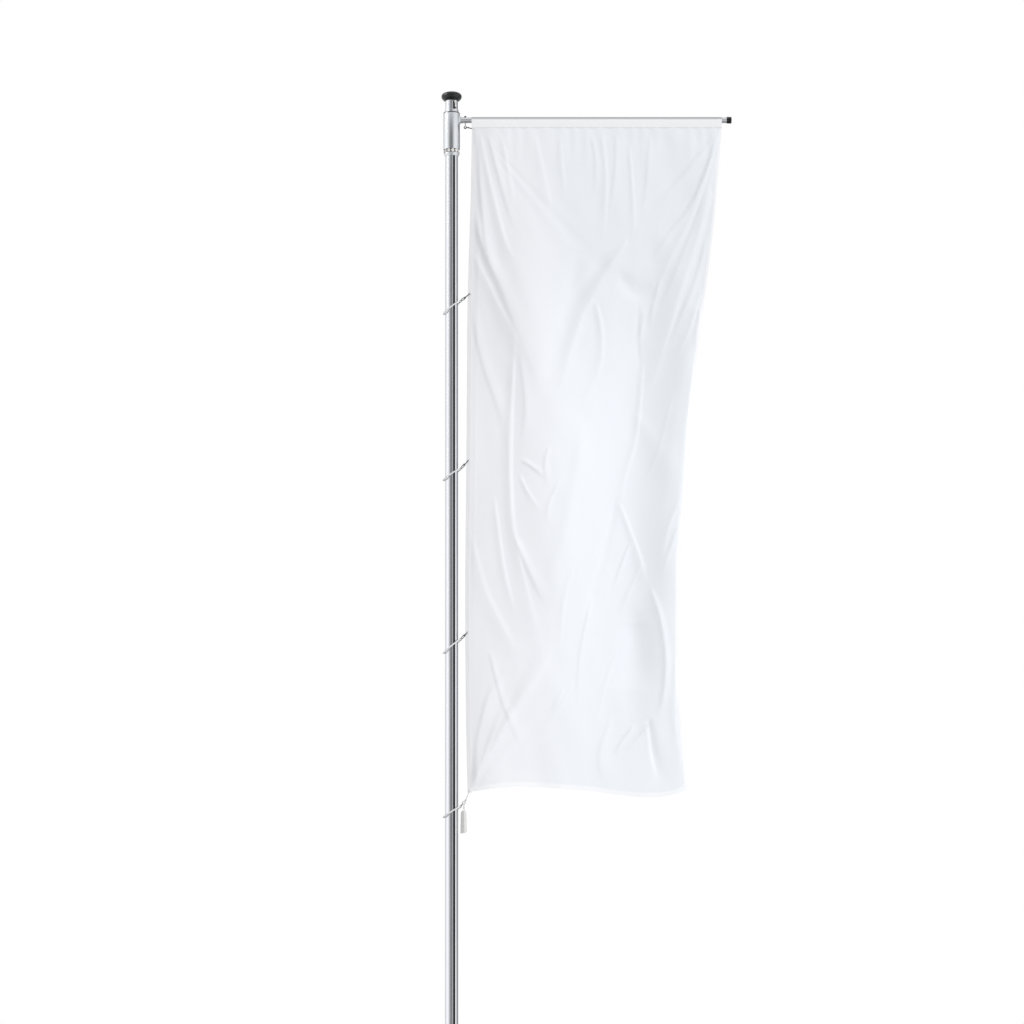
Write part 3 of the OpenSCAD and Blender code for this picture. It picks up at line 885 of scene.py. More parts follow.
def makeLoop(k):
    s = loopSet
    tilt = math.radians(s["tilts"][k])
    straight = s["reach"] / math.cos(tilt) - s["halfWidth"]
    outline = [(straight + s["halfWidth"] * math.sin(a), s["halfWidth"] * math.cos(a))
               for a in np.linspace(0, math.pi, 41)]
    outline += [(-straight - s["halfWidth"] * math.sin(a), -s["halfWidth"] * math.cos(a))
                for a in np.linspace(0, math.pi, 41)]
    centre = Vector((s["x"], 0, s["levels"][k]))
    lengthwise = Vector((math.cos(tilt), 0, math.sin(tilt)))
    line = [(centre + lengthwise * a + Vector((0, b, 0))) * mm for a, b in outline]
    cordRing = sweep("cord", line, s["cord"] / 2 * mm * 0.98, sides=20, closed=True)
    finished(cordRing, loopCord, "boom", f"mast_loop_{k + 1}")
    cordRing.name = f"MastLoop{k + 1}"
    # the cord's two ends meet in a crimped ferrule
    low = centre - lengthwise * ((s["reach"] + 0.6) / math.cos(tilt))
    profile = [(r * mm, h * mm) for r, h in rounded(
        [(3.8, -5), (4.6, -4), (4.8, -1.6), (4.4, -1.1), (4.4, 1.1), (4.8, 1.6), (4.6, 4), (3.8, 5)], 0.5)]
    ferrule = lathe(f"LoopFerrule{k + 1}", profile, low * mm, (0, 1, 0), 28)
    finished(ferrule, beadGrey, "boom")


def loopEnd(k):
    s = loopSet
    rise = s["reach"] * math.tan(math.radians(s["tilts"][k]))
    return Vector((s["x"] + s["reach"] + 0.6, s["levels"][k] + rise + 0.4))


for number in range(4):
    makeLoop(number)


# snap hooks: a swivel eye on the loop, a body, and an oval hook with a sprung gate

hookSet = dict(wire=1.6, body=5.6, hookWidth=6.2, hookWire=2.7, tip=4.6, gate=1.9, cordEye=6,
               frameLength=37, frameWidth=4.9, frameWire=2.4)


def snapHook(name, link, eyeLies, eyeRadius, replaced, bodyMaterial, small=1.0, behind=0.0):
    s = hookSet
    wire = s["hookWire"] * small
    reach = link.length + 10 * small  # the bow's end is past the far point that the eyelet holds
    swivel = ringRound(link, 0, eyeRadius, s["wire"] * small, upright=eyeLies == "deep")
    neck = eyeRadius - 0.4
    if eyeLies == "flat":  # a broad open body with a solid nose
        middle = neck + s["frameLength"] / 2
        oval = [link.at(middle + (s["frameLength"] / 2 - 1) * math.cos(a), s["frameWidth"] * math.sin(a))
                for a in np.linspace(0, math.tau, 33)[:-1]]
        nose = link.turned("nose", [(0, 0), (4.6, 0.8), (6.4, 3), (6.6, 11), (3.2, 14.4), (0, 15)],
                           neck + s["frameLength"] - 15, 0.5)
        barrel = joined("body", [sweep("frame", oval, s["frameWire"] * mm, 14, closed=True), nose], 32)
        start = neck + s["frameLength"] - 2
    else:
        barrel = link.turned("barrel", [(0, 0), (2.4, 0), (3.4, 1.2), (3.4, 3), (2.2, 3.6), (2.2, 4.6),
                                        (s["body"] * small, 5.2), (s["body"] * small, 11),
                                        (3.2 * small, 12.6), (0, 13)], neck, 0.5)
        start = neck + 11.5
    half = s["hookWidth"] * small
    tip = s["tip"] * small
    centre = reach - tip
    bow = [link.at(start, 0, 0), link.at(start + 2, 0, -half * 0.6), link.at(start + 6, 0, -half)]
    bow += [link.at(start + 6 + (centre - start - 6) * t, 0, -half * wide - tip * (1 - wide))
            for t, wide in ((0.3, 1.0), (0.55, 0.8), (0.8, 0.2), (1.0, 0.0))]
    bow += [link.at(centre + tip * math.sin(a), 0, -tip * math.cos(a))
            for a in np.linspace(0.3, math.pi - 0.3, 9)]
    bow.append(link.at(centre, 0, tip))
    bow.append(link.at(centre - 3, 0, tip + 0.4))
    bow = [p + Vector((0, behind * mm * min(k / 4, 1), 0)) for k, p in enumerate(bow)]
    wireBow = sweep("bow", curvedPath(bow, 5), wire * mm, 12)
    gate = [link.at(centre - 2.4, 0, tip - 1.2), link.at(start + (centre - start) * 0.6, 0, half - 1.2),
            link.at(start + 5, 0, half - 1.2), link.at(start + 1, 0, 1.6)]
    gate = [p + Vector((0, behind * mm, 0)) for p in gate]
    spring = sweep("gate", curvedPath(gate, 6), s["gate"] * small * mm, 10)
    hook = joined(name, [swivel, barrel, wireBow, spring], 32)
    finished(hook, bodyMaterial, "boom", replaced)
    return hook


for number in range(3):
    end = loopEnd(number)
    snapHook(f"LoopHook{number + 1}", Link(end, beforeEyelet(number + 1, end)), "flat", hookSet["cordEye"],
             f"loop_hook_{number + 1}", hookDark)

eyeOfBolt = Vector((armSet["eyeAt"] + eyeSet["eye"], armSet["level"] - eyeSet["drop"]))
snapHook("TopHook", Link(eyeOfBolt, beforeEyelet(0, eyeOfBolt)), "deep", 4.5, "top_hook", darkSteel, 0.7,
         behind=4.6)
print("loops and hooks ready")


# lower corner: ring, its hook to the last loop, the whipped cord to the corner, and the weight on its bail

ringSet = dict(centre=(70, 3839), radius=8.5, wire=1.8, link=4.5, hookSide=(-0.75, -0.66),
               cordSide=(0.75, 0.66), bailSide=(0.1, -0.995))
weightSet = dict(top=3792, x=69, side=27.6, height=130, turn=-32, slant=15, shoulder=22)


def onRing(side):
    return Vector(ringSet["centre"]) + Vector(side) * ringSet["radius"]


def makeCorner():
    s = ringSet
    centre = Vector((s["centre"][0], 0, s["centre"][1]))
    line = [(centre + Vector((s["radius"] * math.cos(a), 0, s["radius"] * math.sin(a)))) * mm
            for a in np.linspace(0, math.tau, 49)[:-1]]
    ring = sweep("WeightRing", line, s["wire"] * mm, 16, closed=True)
    finished(ring, paleSteel, "boom", "weight_ring")
    end = loopEnd(3)
    link = Link(end, onRing(s["hookSide"]))
    swivel = ringRound(link, 0, hookSet["cordEye"], 1.5, upright=False)
    body = link.turned("body", [(0, 0), (3, 0), (4.6, 1.4), (4.6, link.length - 13.6),
                                (2.8, link.length - 12), (0, link.length - 11.4)],
                       hookSet["cordEye"] - 0.3, 0.6)
    bow = ringRound(link, link.length - 2.0, s["link"] + 1.6, 1.6, upright=True)
    finished(joined("LoopHook4", [swivel, body, bow], 32), hookGrey, "boom", "loop_hook_4")
    start = onRing(s["cordSide"])
    link = Link(start, beforeEyelet(4, start))
    near = [link.at(4.2 * math.cos(a), 0, 4.2 * math.sin(a)) for a in np.linspace(0.5, math.tau - 0.5, 17)]
    far = link.length
    leg = [link.at(8, 0, 1.1), link.at(far * 0.5, 0.6, 1.3), link.at(far - 9, 0, 2.6)]
    beyond = [link.at(far + 9.5 * math.sin(a), 0, 3.4 * math.cos(a)) for a in np.linspace(0, math.pi, 9)]
    other = [link.at(far - 9, 0, -2.6), link.at(far * 0.5, -0.6, -1.3), link.at(8, 0, -1.1)]
    route = [near[0], *near[1:-1:2], near[-1], *other[::-1], *beyond[::-1], *leg[::-1]]
    cordLine = curvedPath(route, 5, closed=True)
    cord = sweep("cord", cordLine, 1.5 * mm, 12, closed=True)
    wraps = []
    for k in range(70):
        a = math.tau * 4 * k / 69
        wraps.append(link.at(s["link"] + 1.5 + 7 * k / 69, 2.5 * math.cos(a), 2.7 * math.sin(a)))
    knot = sweep("knot", wraps, 1.25 * mm, 10)
    cord.name = "CornerCord"
    finished(cord, whipCord, "boom", "corner_cord")
    knot.name = "CornerWhipping"
    finished(knot, knotGrey, "boom")


makeCorner()


def makeWeight():
    s = weightSet
    r = ringSet
    half = s["side"] / 2
    turn = Matrix.Rotation(math.radians(s["turn"]), 3, "Z")
    outline = rounded([(-half, -half), (half, -half), (half, half), (-half, half)], 2.4, 5)
    rows = []
    tan = math.tan(math.radians(s["slant"]))
    top = s["height"]
    for inset, z in ((2.0, 0.0), (0.6, 0.7), (0, 2.2), (0.3, 30), (0.9, 70), (1.6, top - s["shoulder"]),
                     (2.0, top - 13), (3.2, top - 6), (4.4, top - 1.6), (6.4, top)):
        k = 1 - inset / half
        row = []
        for a, b in outline:
            p = turn @ Vector((a * k, b * k, 0))
            lift = max(0.0, (p.x + 20) * tan) * max(0.0, 1 - z / 26)  # the foot is cut off at a slant
            row.append(Vector((s["x"] + p.x, p.y, s["top"] - s["height"] + z + lift)) * mm)
        rows.append(row)
    count = len(outline)
    verts = [p for row in rows for p in row]
    faces = [(i * count + k, i * count + (k + 1) % count,
              (i + 1) * count + (k + 1) % count, (i + 1) * count + k)
             for i in range(len(rows) - 1) for k in range(count)]
    faces.append(tuple(reversed(range(count))))
    faces.append(tuple(range((len(rows) - 1) * count, len(rows) * count)))
    block = outward(meshPiece("WeightBlock", verts, faces, sharp=28))
    finished(block, paintedWeight, "weight", "weight_block")
    pivot = onRing(r["bailSide"])
    centre = Vector((pivot.x, 0, pivot.y))
    line = [(centre + Vector((0, r["link"] * math.sin(a), r["link"] * math.cos(a)))) * mm
            for a in np.linspace(0, math.tau, 37)[:-1]]
    eye = sweep("eye", line, 1.3 * mm, 12, closed=True)
    high = pivot.y - r["link"]
    bails = []
    for side in (-1, 1):
        wire = [(pivot.x, side * 1.6, high - 0.5), (pivot.x + side * 0.8, side * 2.2, high - 6),
                (pivot.x - 1 + side * 2.4, side * 2.8, (high + s["top"]) / 2),
                (pivot.x - 1 + side * 4, 0, s["top"] + 5),
                (pivot.x - 1.5 + side * 4.4, 0, s["top"] - 3)]
        bails.append(sweep("wire", curvedPath([Vector(p) * mm for p in wire], 8), 1.5 * mm, 12))
    crimp = rounded([(0, 0), (3.4, 0), (3.4, 6), (0, 6)], 0.8)
    collar = lathe("collar", [(q * mm, h * mm) for q, h in crimp],
                   (pivot.x * mm, 0, (high - 6.5) * mm), sides=28)
    finished(joined("WeightBail", [eye, collar, *bails], 34), strapGrey, "weight", "weight_bail")


makeWeight()
print("weight ready")


# banner cloth: every fold is a line of (across, up) centimetres with its half width and its depth in
# millimetres; a positive depth comes towards the viewer

billows = (
    (270, 74, (38, 740), (50, 640), (57, 560), (57, 480), (50, 400)),
    (250, -70, (118, 700), (106, 600), (101, 520), (99, 450), (96, 390)),
    (120, 40, (143, 670), (130, 590), (124, 500), (121, 440), (118, 385)))

folds = (
    # fan from the upper hoist corner
    (30, 12, (14, 779), (17, 745), (20, 715), (25, 691)),
    (30, 12, (17, 779), (23, 748), (31, 715), (37, 701)),
    (25, 8, (21, 780), (30, 745), (37, 721)),
    (22, 6, (29, 780), (34, 754), (37, 733)),
    (50, 20, (13, 730), (20, 706), (28, 688), (37, 664), (53, 625)),
    (42, 10, (13, 706), (23, 685), (34, 661), (46, 634)),
    (42, 8, (11, 676), (18, 643), (28, 613), (33, 589)),
    (34, 5, (37, 661), (35, 625), (33, 595), (34, 566), (38, 536), (52, 498)),
    (30, 6, (40, 643), (43, 613), (40, 589)),
    (14, 2, (17, 765), (16, 700), (14, 600), (13, 500), (14, 430)),
    # small crumple
    (18, 9, (41, 582), (47, 578), (54, 572)),
    (18, 8, (40, 573), (44, 564), (51, 553)),
    (18, 8, (56, 589), (54, 581), (55, 566)),
    (18, 7, (62, 569), (57, 557), (55, 545)),
    # lower hoist corner
    (30, 10, (37, 536), (44, 519), (54, 498)),
    (55, 8, (12, 536), (19, 507), (31, 481), (37, 469)),
    (55, 22, (11, 392), (22, 414), (36, 437), (48, 455), (58, 475)),
    (36, 8, (12, 393), (15, 420), (22, 446), (34, 463)),
    (30, 6, (15, 391), (31, 411), (45, 426)),
    (24, 6, (70, 452), (61, 437), (51, 423)),
    (18, 5, (64, 449), (57, 437)),
    # hanging folds under the pocket
    (24, 5, (64, 780), (65, 761), (67, 739)),
    (24, 6, (82, 780), (85, 761), (84, 742)),
    (24, 8, (89, 780), (91, 751), (89, 715)),
    (24, 6, (97, 780), (96, 754), (93, 733)),
    (18, 8, (105, 770), (107, 739), (107, 718)),
    (30, 6, (117, 780), (115, 751), (112, 727)),
    (36, 5, (49, 780), (54, 754), (59, 727)),
    # fan from the upper free corner
    (27, 12, (157, 780), (149, 754), (139, 733), (125, 715), (118, 701)),
    (30, 10, (156, 777), (147, 745), (137, 721), (125, 697), (120, 679)),
    (36, 10, (154, 761), (146, 733), (137, 709), (125, 679), (117, 655)),
    (48, 18, (152, 742), (144, 715), (134, 685), (122, 646), (110, 613)),
    (30, 9, (149, 715), (143, 691), (131, 661), (119, 631)),
    (24, 8, (146, 685), (139, 661), (130, 643)),
    (30, 7, (157, 780), (134, 751), (123, 739)),
    # middle
    (34, 9, (36, 640), (34, 560), (40, 520), (52, 470)),
    (70, -12, (75, 705), (66, 665), (55, 625), (49, 600)),
    (26, 9, (112, 640), (108, 600), (101, 575), (98, 560)),
    (60, 11, (76, 600), (70, 560), (61, 520), (58, 480)),
    (22, 6, (70, 520), (65, 500), (62, 470)),
    (22, 6, (80, 500), (74, 470), (72, 440)),
    (26, 7, (25, 560), (30, 520), (37, 490)),
    (26, 6, (22, 470), (30, 440), (41, 415)),
    (20, 5, (95, 470), (88, 450), (84, 430)),
    (20, 6, (128, 620), (120, 590), (111, 568)),
    (42, 22, (102, 713), (90, 694), (77, 670), (68, 643), (63, 624)),
    (50, -10, (90, 706), (75, 685), (59, 661)),
    (30, 12, (85, 676), (88, 658), (86, 637), (75, 613)),
    (60, -16, (99, 694), (107, 685), (119, 688)),
    (15, 8, (113, 673), (112, 664), (110, 655)),
    (24, 8, (122, 691), (118, 676), (116, 661)),
    (24, -6, (110, 676), (109, 655), (111, 637)),
    # lower middle
    (36, -14, (95, 560), (89, 536), (83, 513), (76, 490)),
    (27, 10, (98, 558), (105, 539), (110, 523), (112, 510)),
    (18, 8, (103, 535), (97, 519), (93, 507)),
    (18, 8, (110, 523), (103, 507), (97, 492)),
    (27, 16, (115, 507), (120, 490), (123, 466), (121, 443), (117, 433)),
    (90, -25, (107, 490), (108, 469), (107, 449)),
    (15, 8, (104, 428), (98, 420), (93, 412)),
    (15, 9, (116, 433), (108, 423), (100, 413)),
    (30, -14, (113, 431), (115, 414), (119, 396)),
    (30, 9, (129, 466), (128, 434), (132, 397)),
    (42, 6, (91, 432), (85, 411), (88, 394)),
    # free edge
    (24, 9, (132, 559), (126, 545), (121, 525)),
    (20, 7, (131, 545), (125, 528), (120, 513)),
    (36, 10, (141, 637), (136, 601), (133, 566), (129, 528), (129, 490)),
    (24, 7, (145, 673), (141, 649)),
    (60, 8, (109, 610), (121, 589), (130, 569)))

clothSet = dict(across=190, down=500, sewnIn=12, width=1500, length=4000, ripple=1.8,
                pulls=(((0.12, 7.86), 1.9, 1.0), ((1.6, 7.86), 2.1, 1.0), ((0.1, 3.88), 1.2, 1.1),
                       ((0.72, 9.6), 4.6, 1.5), ((0.95, 2.2), 3.6, 1.5)))


def ease(value, low, high):
    t = np.clip((value - low) / (high - low), 0, 1)
    return t * t * (3 - 2 * t)


def foldDepth(x, z, lines):
    # what the folds add at each place, all in metres
    total = np.zeros_like(x)
    for number, (half, depth, *points) in enumerate(lines):
        path = [tuple(p) for p in curvedPath([(a * 0.01, 0, b * 0.01) for a, b in points], 5)]
        spots = np.array([(p[0], p[2]) for p in path])
        near = np.full(x.shape, 1e9)
        where = np.zeros_like(x)
        side = np.zeros_like(x)
        for k in range(len(spots) - 1):
            a, run = spots[k], spots[k + 1] - spots[k]
            t = np.clip(((x - a[0]) * run[0] + (z - a[1]) * run[1]) / (run @ run), 0, 1)
            gap = np.hypot(x - a[0] - t * run[0], z - a[1] - t * run[1])
            closer = gap < near
            near = np.where(closer, gap, near)
            side = np.where(closer, (x - a[0]) * run[1] - (z - a[1]) * run[0], side)
            where = np.where(closer, (k + t) / (len(spots) - 1), where)
        fade = ease(where, -0.15, 0.2) * ease(1 - where, -0.05, 0.45)
        steep = 0.45 if half < 60 else 1.0
        width = half * mm * (0.55 + 0.6 * where)
        width = width * np.where((side > 0) == (number % 2 == 0), steep, 1.15)
        total += depth * mm * fade * np.exp(-(near / width) ** 2)
    return total


def fan(x, z, corner, reach, seed):
    # fine creases that run out from a corner where the cloth is pulled
    dx, dz = x - corner[0], z - corner[1]
    angle = np.arctan2(dx, np.abs(dz))
    away = np.hypot(dx, dz)
    total = np.zeros_like(x)
    for k in range(9):
        pitch = 9 + 7.3 * k + 2.1 * math.sin(seed + 3 * k)
        total += np.sin(angle * pitch + seed * (k + 1.7) + 0.6 * np.sin(away * 2.2 + k)) / (1 + 0.16 * k)
    steep = 1 - ease(np.abs(angle), 0.55, 0.95)
    return total * steep * ease(away, 0.02, 0.35) * (1 - ease(away, reach * 0.3, reach))


def clothGrid():
    s, b = clothSet, bannerSet
    u = np.linspace(0, 1, s["across"] + 1)
    v = np.linspace(0, 1, s["down"] + 1)
    low = np.array([along(b["lowerEdge"], k) for k in u])
    z = b["seam"] - v[:, None] * (b["seam"] - low[None, :])
    left = np.array([[along(b["hoistEdge"], h) for h in row[::30]] for row in z])
    right = np.array([[along(b["freeEdge"], h) for h in row[::30]] for row in z])
    stops = u[::30]
    left = np.array([np.interp(u, stops, row) for row in left]) + s["sewnIn"]
    right = np.array([np.interp(u, stops, row) for row in right])
    x = (left + (right - left) * u) * mm
    z = z * mm
    inward = x - left * mm
    hang = b["seam"] * mm - z
    y = -foldDepth(x, z, billows) * ease(hang, 0, 1.3) * ease(inward, 0, 0.3)
    fine = foldDepth(x, z, folds) * ease(hang, 0, 0.12) * ease(inward, 0, 0.05)
    y -= fine
    for k, (place, reach, depth) in enumerate(s["pulls"]):
        y += fan(x, z, place, reach, k + 1.0) * depth * mm * ease(hang, 0, 0.1) * ease(inward, 0, 0.05)
    drift = np.array([[noise.noise(Vector((x[j, i] * 3.1, z[j, i] * 1.7, 4.0))) +
                       0.45 * noise.noise(Vector((x[j, i] * 9 + z[j, i] * 2, z[j, i] * 3.4, 9.0)))
                       for i in range(s["across"] + 1)] for j in range(s["down"] + 1)])
    y += drift * 0.009 * ease(hang, 0, 0.35) * ease(inward, 0, 0.12)
    gather = np.sin(x * math.tau / 0.083 + 1.3 * np.sin(x * 17)) * s["ripple"] * mm
    y += gather * ease(hang, -0.01, 0.01) * (1 - ease(hang, 0.02, 0.3))
    return np.stack([x, y, z], axis=2), u, v


def makeCloth():
    s = clothSet
    grid, u, v = clothGrid()
    row = s["across"] + 1
    faces = [(j * row + i, (j + 1) * row + i, (j + 1) * row + i + 1, j * row + i + 1)
             for j in range(s["down"]) for i in range(s["across"])]
    uvs = [(a * s["width"] * mm, (1 - b) * s["length"] * mm) for b in v for a in u]
    cloth = meshPiece("FlagCloth", grid.reshape(-1, 3), faces, uvs, 180)
    finished(cloth, flagPolyester, "boom", "flag_cloth")
    return cloth, grid


flagCloth, clothPoints = makeCloth()
print("cloth ready", len(flagCloth.data.polygons))


def gridNormals(grid):
    down = np.gradient(grid, axis=0)
    over = np.gradient(grid, axis=1)
    normals = np.cross(over, down)
    return normals / np.linalg.norm(normals, axis=2)[:, :, None]


def ribbon(name, rails, normals, thick, edge=0.25):
    # a flat closed band over rows of points, its two faces and rounded edges a little off the cloth
    rows, wide, _ = rails.shape
    verts, faces, uvs = [], [], []
    ring = 2 * wide + 2
    for j in range(rows):
        side = rails[j, -1] - rails[j, 0]
        side = side / np.linalg.norm(side) * thick * edge
        front = [rails[j, k] + normals[j, k] * thick / 2 for k in range(wide)]
        back = [rails[j, k] - normals[j, k] * thick / 2 for k in range(wide - 1, -1, -1)]
        verts += front + [rails[j, -1] + side] + back + [rails[j, 0] - side]
        across = np.linalg.norm(rails[j] - rails[j, 0], axis=1)
        drop = np.linalg.norm(rails[j, 0] - rails[0, 0])
        uvs += [(a, drop) for a in across] + [(across[-1], drop)]
        uvs += [(a, drop) for a in across[::-1]] + [(0, drop)]
    for j in range(rows - 1):
        for k in range(ring):
            m = (k + 1) % ring
            faces.append((j * ring + k, j * ring + m, (j + 1) * ring + m, (j + 1) * ring + k))
    faces.append(tuple(reversed(range(ring))))
    faces.append(tuple(range((rows - 1) * ring, rows * ring)))
    return outward(meshPiece(name, verts, faces, uvs, 50))


def makeHems():
    normals = gridNormals(clothPoints)
    free = ribbon("FreeEdgeHem", clothPoints[:, -3:], normals[:, -3:], 1.5 * mm)
    finished(free, edgePolyester, "boom")
    low = ribbon("LowerHem", clothPoints[-4:].transpose(1, 0, 2), normals[-4:].transpose(1, 0, 2), 1.6 * mm)
    finished(low, edgePolyester, "boom")
    return free, low


freeHem, lowerHem = makeHems()


def makeBand():
    b = bannerSet
    rows = 320
    levels = np.linspace(b["hoistEdge"][0][0], b["seam"] - 1, rows)
    rails = np.zeros((rows, 5, 3))
    normals = np.zeros((rows, 5, 3))
    normals[:, :, 1] = -1
    for j, z in enumerate(levels):
        x = along(b["hoistEdge"], z)
        for k in range(5):
            rails[j, k] = ((x + b["band"] * k / 4) * mm, 0.3 * mm * math.sin(z / 37 + k), z * mm)
    band = ribbon("HoistBand", rails, normals, 2.6 * mm)
    for k in range(5):
        spot = eyelet(k)
        punch = lathe("punch", [(0, -0.02), (0.0055, -0.02), (0.0055, 0.02), (0, 0.02)],
                      (spot.x * mm, 0, spot.y * mm), (0, 1, 0), 24)
        cut = band.modifiers.new("eyelet", "BOOLEAN")
        cut.object = punch
        cut.solver = "EXACT"
        baked(band, 50)
        bpy.data.objects.remove(punch)
    finished(band, bandWebbing, "boom", "hoist_band")
    return band, rails


hoistBand, bandRails = makeBand()


def makeEyelets():
    corners = [(4.0, -1.9), (4.3, -2.4), (5.0, -2.7), (6.0, -2.4), (6.6, -1.5), (6.2, -1.4), (5.3, -1.4),
               (5.3, 1.4), (6.2, 1.4), (6.6, 1.5), (6.0, 2.4), (5.0, 2.7), (4.3, 2.4), (4.0, 1.9)]
    part = lathe("eyelet", [(r * mm, h * mm) for r, h in corners], sides=40, sharp=40)
    places = [Vector((eyelet(k).x, 0, eyelet(k).y)) * mm for k in range(5)]
    rings = repeated("Grommets", part, places, [(0, -1, 0)] * 5, [(1, 0, 0)] * 5, brightEyelet,
                     seed=5, turn=180)
    finished(rings, brightEyelet, "boom", "grommets")
    return rings


grommetRings = makeEyelets()


pocketSet = dict(clear=0.9, thick=1.0, around=44, step=6, tail=7, wave=1.1)


def makePocket():
    # the banner's top edge folded over the arm and sewn to itself at the seam
    s, b = pocketSet, bannerSet
    arm = armSet["level"]
    radius = armSet["radius"] + s["clear"]
    drop = arm - b["seam"]
    lean = math.acos(radius / drop)
    stations = np.arange(b["pocket"][0], b["pocket"][1] + 0.1, s["step"])
    section = [(-0.45, -drop - s["tail"]), (-0.5, -drop - 2)]
    touch = (radius * math.sin(lean), -radius * math.cos(lean))
    for t in np.linspace(0, 1, 9):
        section.append((-0.5 + (-touch[0] + 0.5) * t, -drop + (touch[1] + drop) * t))
    start = math.atan2(touch[1], -touch[0])
    start = start + math.tau if start < 0 else start
    end = math.atan2(touch[1], touch[0])
    for t in np.linspace(0, 1, s["around"])[1:-1]:
        a = start + (end - start) * t
        section.append((radius * math.cos(a), radius * math.sin(a)))
    section += [(-p[0], p[1]) for p in section[:11][::-1]]
    verts, faces, uvs = [], [], []
    ring = len(section)
    for n, x in enumerate(stations):
        run = 0.0
        for k, (y, z) in enumerate(section):
            lower = max(0.0, (-z - 4) / drop)
            soft = noise.noise(Vector((x * 0.021, z * 0.05, 1.0 if y < 0 else 6.0)))
            tight = noise.noise(Vector((x * 0.09 + z * 0.04, z * 0.02, 3.0)))
            out = (s["wave"] * soft + 0.5 * s["wave"] * tight) * min(lower, 0.85)
            out *= 1 if z > -drop + 1 else 0.1  # the seam holds it flat
            sign = -1 if y < 0 else 1
            verts.append(((x + (tight * 0.8 if n in (0, len(stations) - 1) else 0)) * mm,
                          (y + sign * abs(out)) * mm, (arm + z) * mm))
            if k:
                run += math.dist(section[k], section[k - 1])
            uvs.append((x * mm, run * mm))
    for n in range(len(stations) - 1):
        for k in range(ring - 1):
            faces.append((n * ring + k, n * ring + k + 1, (n + 1) * ring + k + 1, (n + 1) * ring + k))
    pocket = meshPiece("FlagHem", verts, faces, uvs, 60)
    thick = pocket.modifiers.new("cloth thickness", "SOLIDIFY")
    thick.thickness = s["thick"] * mm
    thick.offset = 0.0
    baked(pocket, 60)
    outward(pocket)
    smooth(pocket, 60)
    finished(pocket, hemPolyester, "boom", "flag_hem")
    return pocket


flagHem = makePocket()


stitchSet = dict(length=3.0, thread=0.32, gap=5.2, bandGap=6.5, hemGap=7.0)


def stitchRow(line, outs, gap):
    # places for stitches every gap metres along the line, with the way they run and the way they face
    line = np.asarray(line)
    run = np.concatenate([[0], np.cumsum(np.linalg.norm(np.diff(line, axis=0), axis=1))])
    stops = np.arange(gap, run[-1] - gap, gap)
    places = np.stack([np.interp(stops, run, line[:, k]) for k in range(3)], axis=1)
    facing = np.stack([np.interp(stops, run, np.asarray(outs)[:, k]) for k in range(3)], axis=1)
    ways = np.gradient(places, axis=0)
    return places, ways / np.linalg.norm(ways, axis=1)[:, None], facing


def sewn(name, rows, gap, seed):
    s = stitchSet
    half, r = s["length"] / 2, s["thread"]
    corners = [(0, -half), (r * 0.7, -half + r * 0.4), (r, -half * 0.5), (r, half * 0.5),
               (r * 0.7, half - r * 0.4), (0, half)]
    part = lathe("stitch", [(a * mm, h * mm) for a, h in corners], sides=6, sharp=60)
    sets = [stitchRow(line, outs, gap * mm) for line, outs in rows]
    places, ways, facing = (np.concatenate([one[k] for one in sets]) for k in range(3))
    threads = repeated(name, part, places, ways, facing, whiteThread, seed, turn=4, spread=0.12)
    finished(threads, whiteThread, "boom")
    return threads


def makeStitches():
    b = bannerSet
    rows = []
    xs = np.linspace(b["pocket"][0] + 6, b["pocket"][1] - 6, 300)
    for side in (-1, 1):
        for drop in (0.0, 4.0):
            line = [(x * mm, side * 1.15 * mm, (b["seam"] - 1 - drop) * mm) for x in xs]
            rows.append((line, [(0, side, 0)] * len(line)))
    pocketSewing = sewn("PocketStitches", rows, stitchSet["gap"], 11)
    rows = []
    for side in (-1, 1):
        for k, inward in ((0, 3.5), (4, -3)):
            line = bandRails[:, k] + np.array([inward * mm, side * 1.35 * mm, 0])
            rows.append((line, [(0, side, 0)] * len(line)))
    bandSewing = sewn("BandStitches", rows, stitchSet["bandGap"], 12)
    normals = gridNormals(clothPoints)
    rows = []
    for side in (-1, 1):
        for points, out in ((clothPoints[:, -3], normals[:, -3]), (clothPoints[-4, 3:], normals[-4, 3:])):
            rows.append((points + out * side * 0.85 * mm, out * side))
    hemSewing = sewn("HemStitches", rows, stitchSet["hemGap"], 13)
    return [pocketSewing, bandSewing, hemSewing]


sewing = makeStitches()
print("banner ready")


# every CAD node that still shows gets a finish too
for name, node in nodes.items():
    painted = any(slot.material in (satinBlack, whiteNylon) for slot in node.material_slots)
    if not node.hide_render and not painted:
        node.data.materials.clear()
        node.data.materials.append(stainless)


# studio: a pale floor, soft white light all round, and dark panels that the metal mirrors

lightSet = dict(fill=0.79, lean=0.1, sun=1.0, sunFrom=(0.62, -0.6, 0.5), floor=60,
                lamp=7.0, lampAt=(-0.807, -0.152, 0.572))

# what the metal mirrors all round: degrees to the right of the viewer's side, and how bright it is there
surround = ((-180, 0.62), (-125, 0.9), (-95, 1.2), (-75, 1.3), (-55, 1.08), (-38, 0.68), (-22, 0.3),
            (-5, 0.2), (8, 0.26), (20, 0.5), (32, 0.86), (48, 1.08), (72, 1.04), (92, 0.9), (104, 0.5),
            (118, 0.3), (165, 0.34), (180, 0.55))
surroundPeak = 1.4  # the ramp holds brightness as a share of this


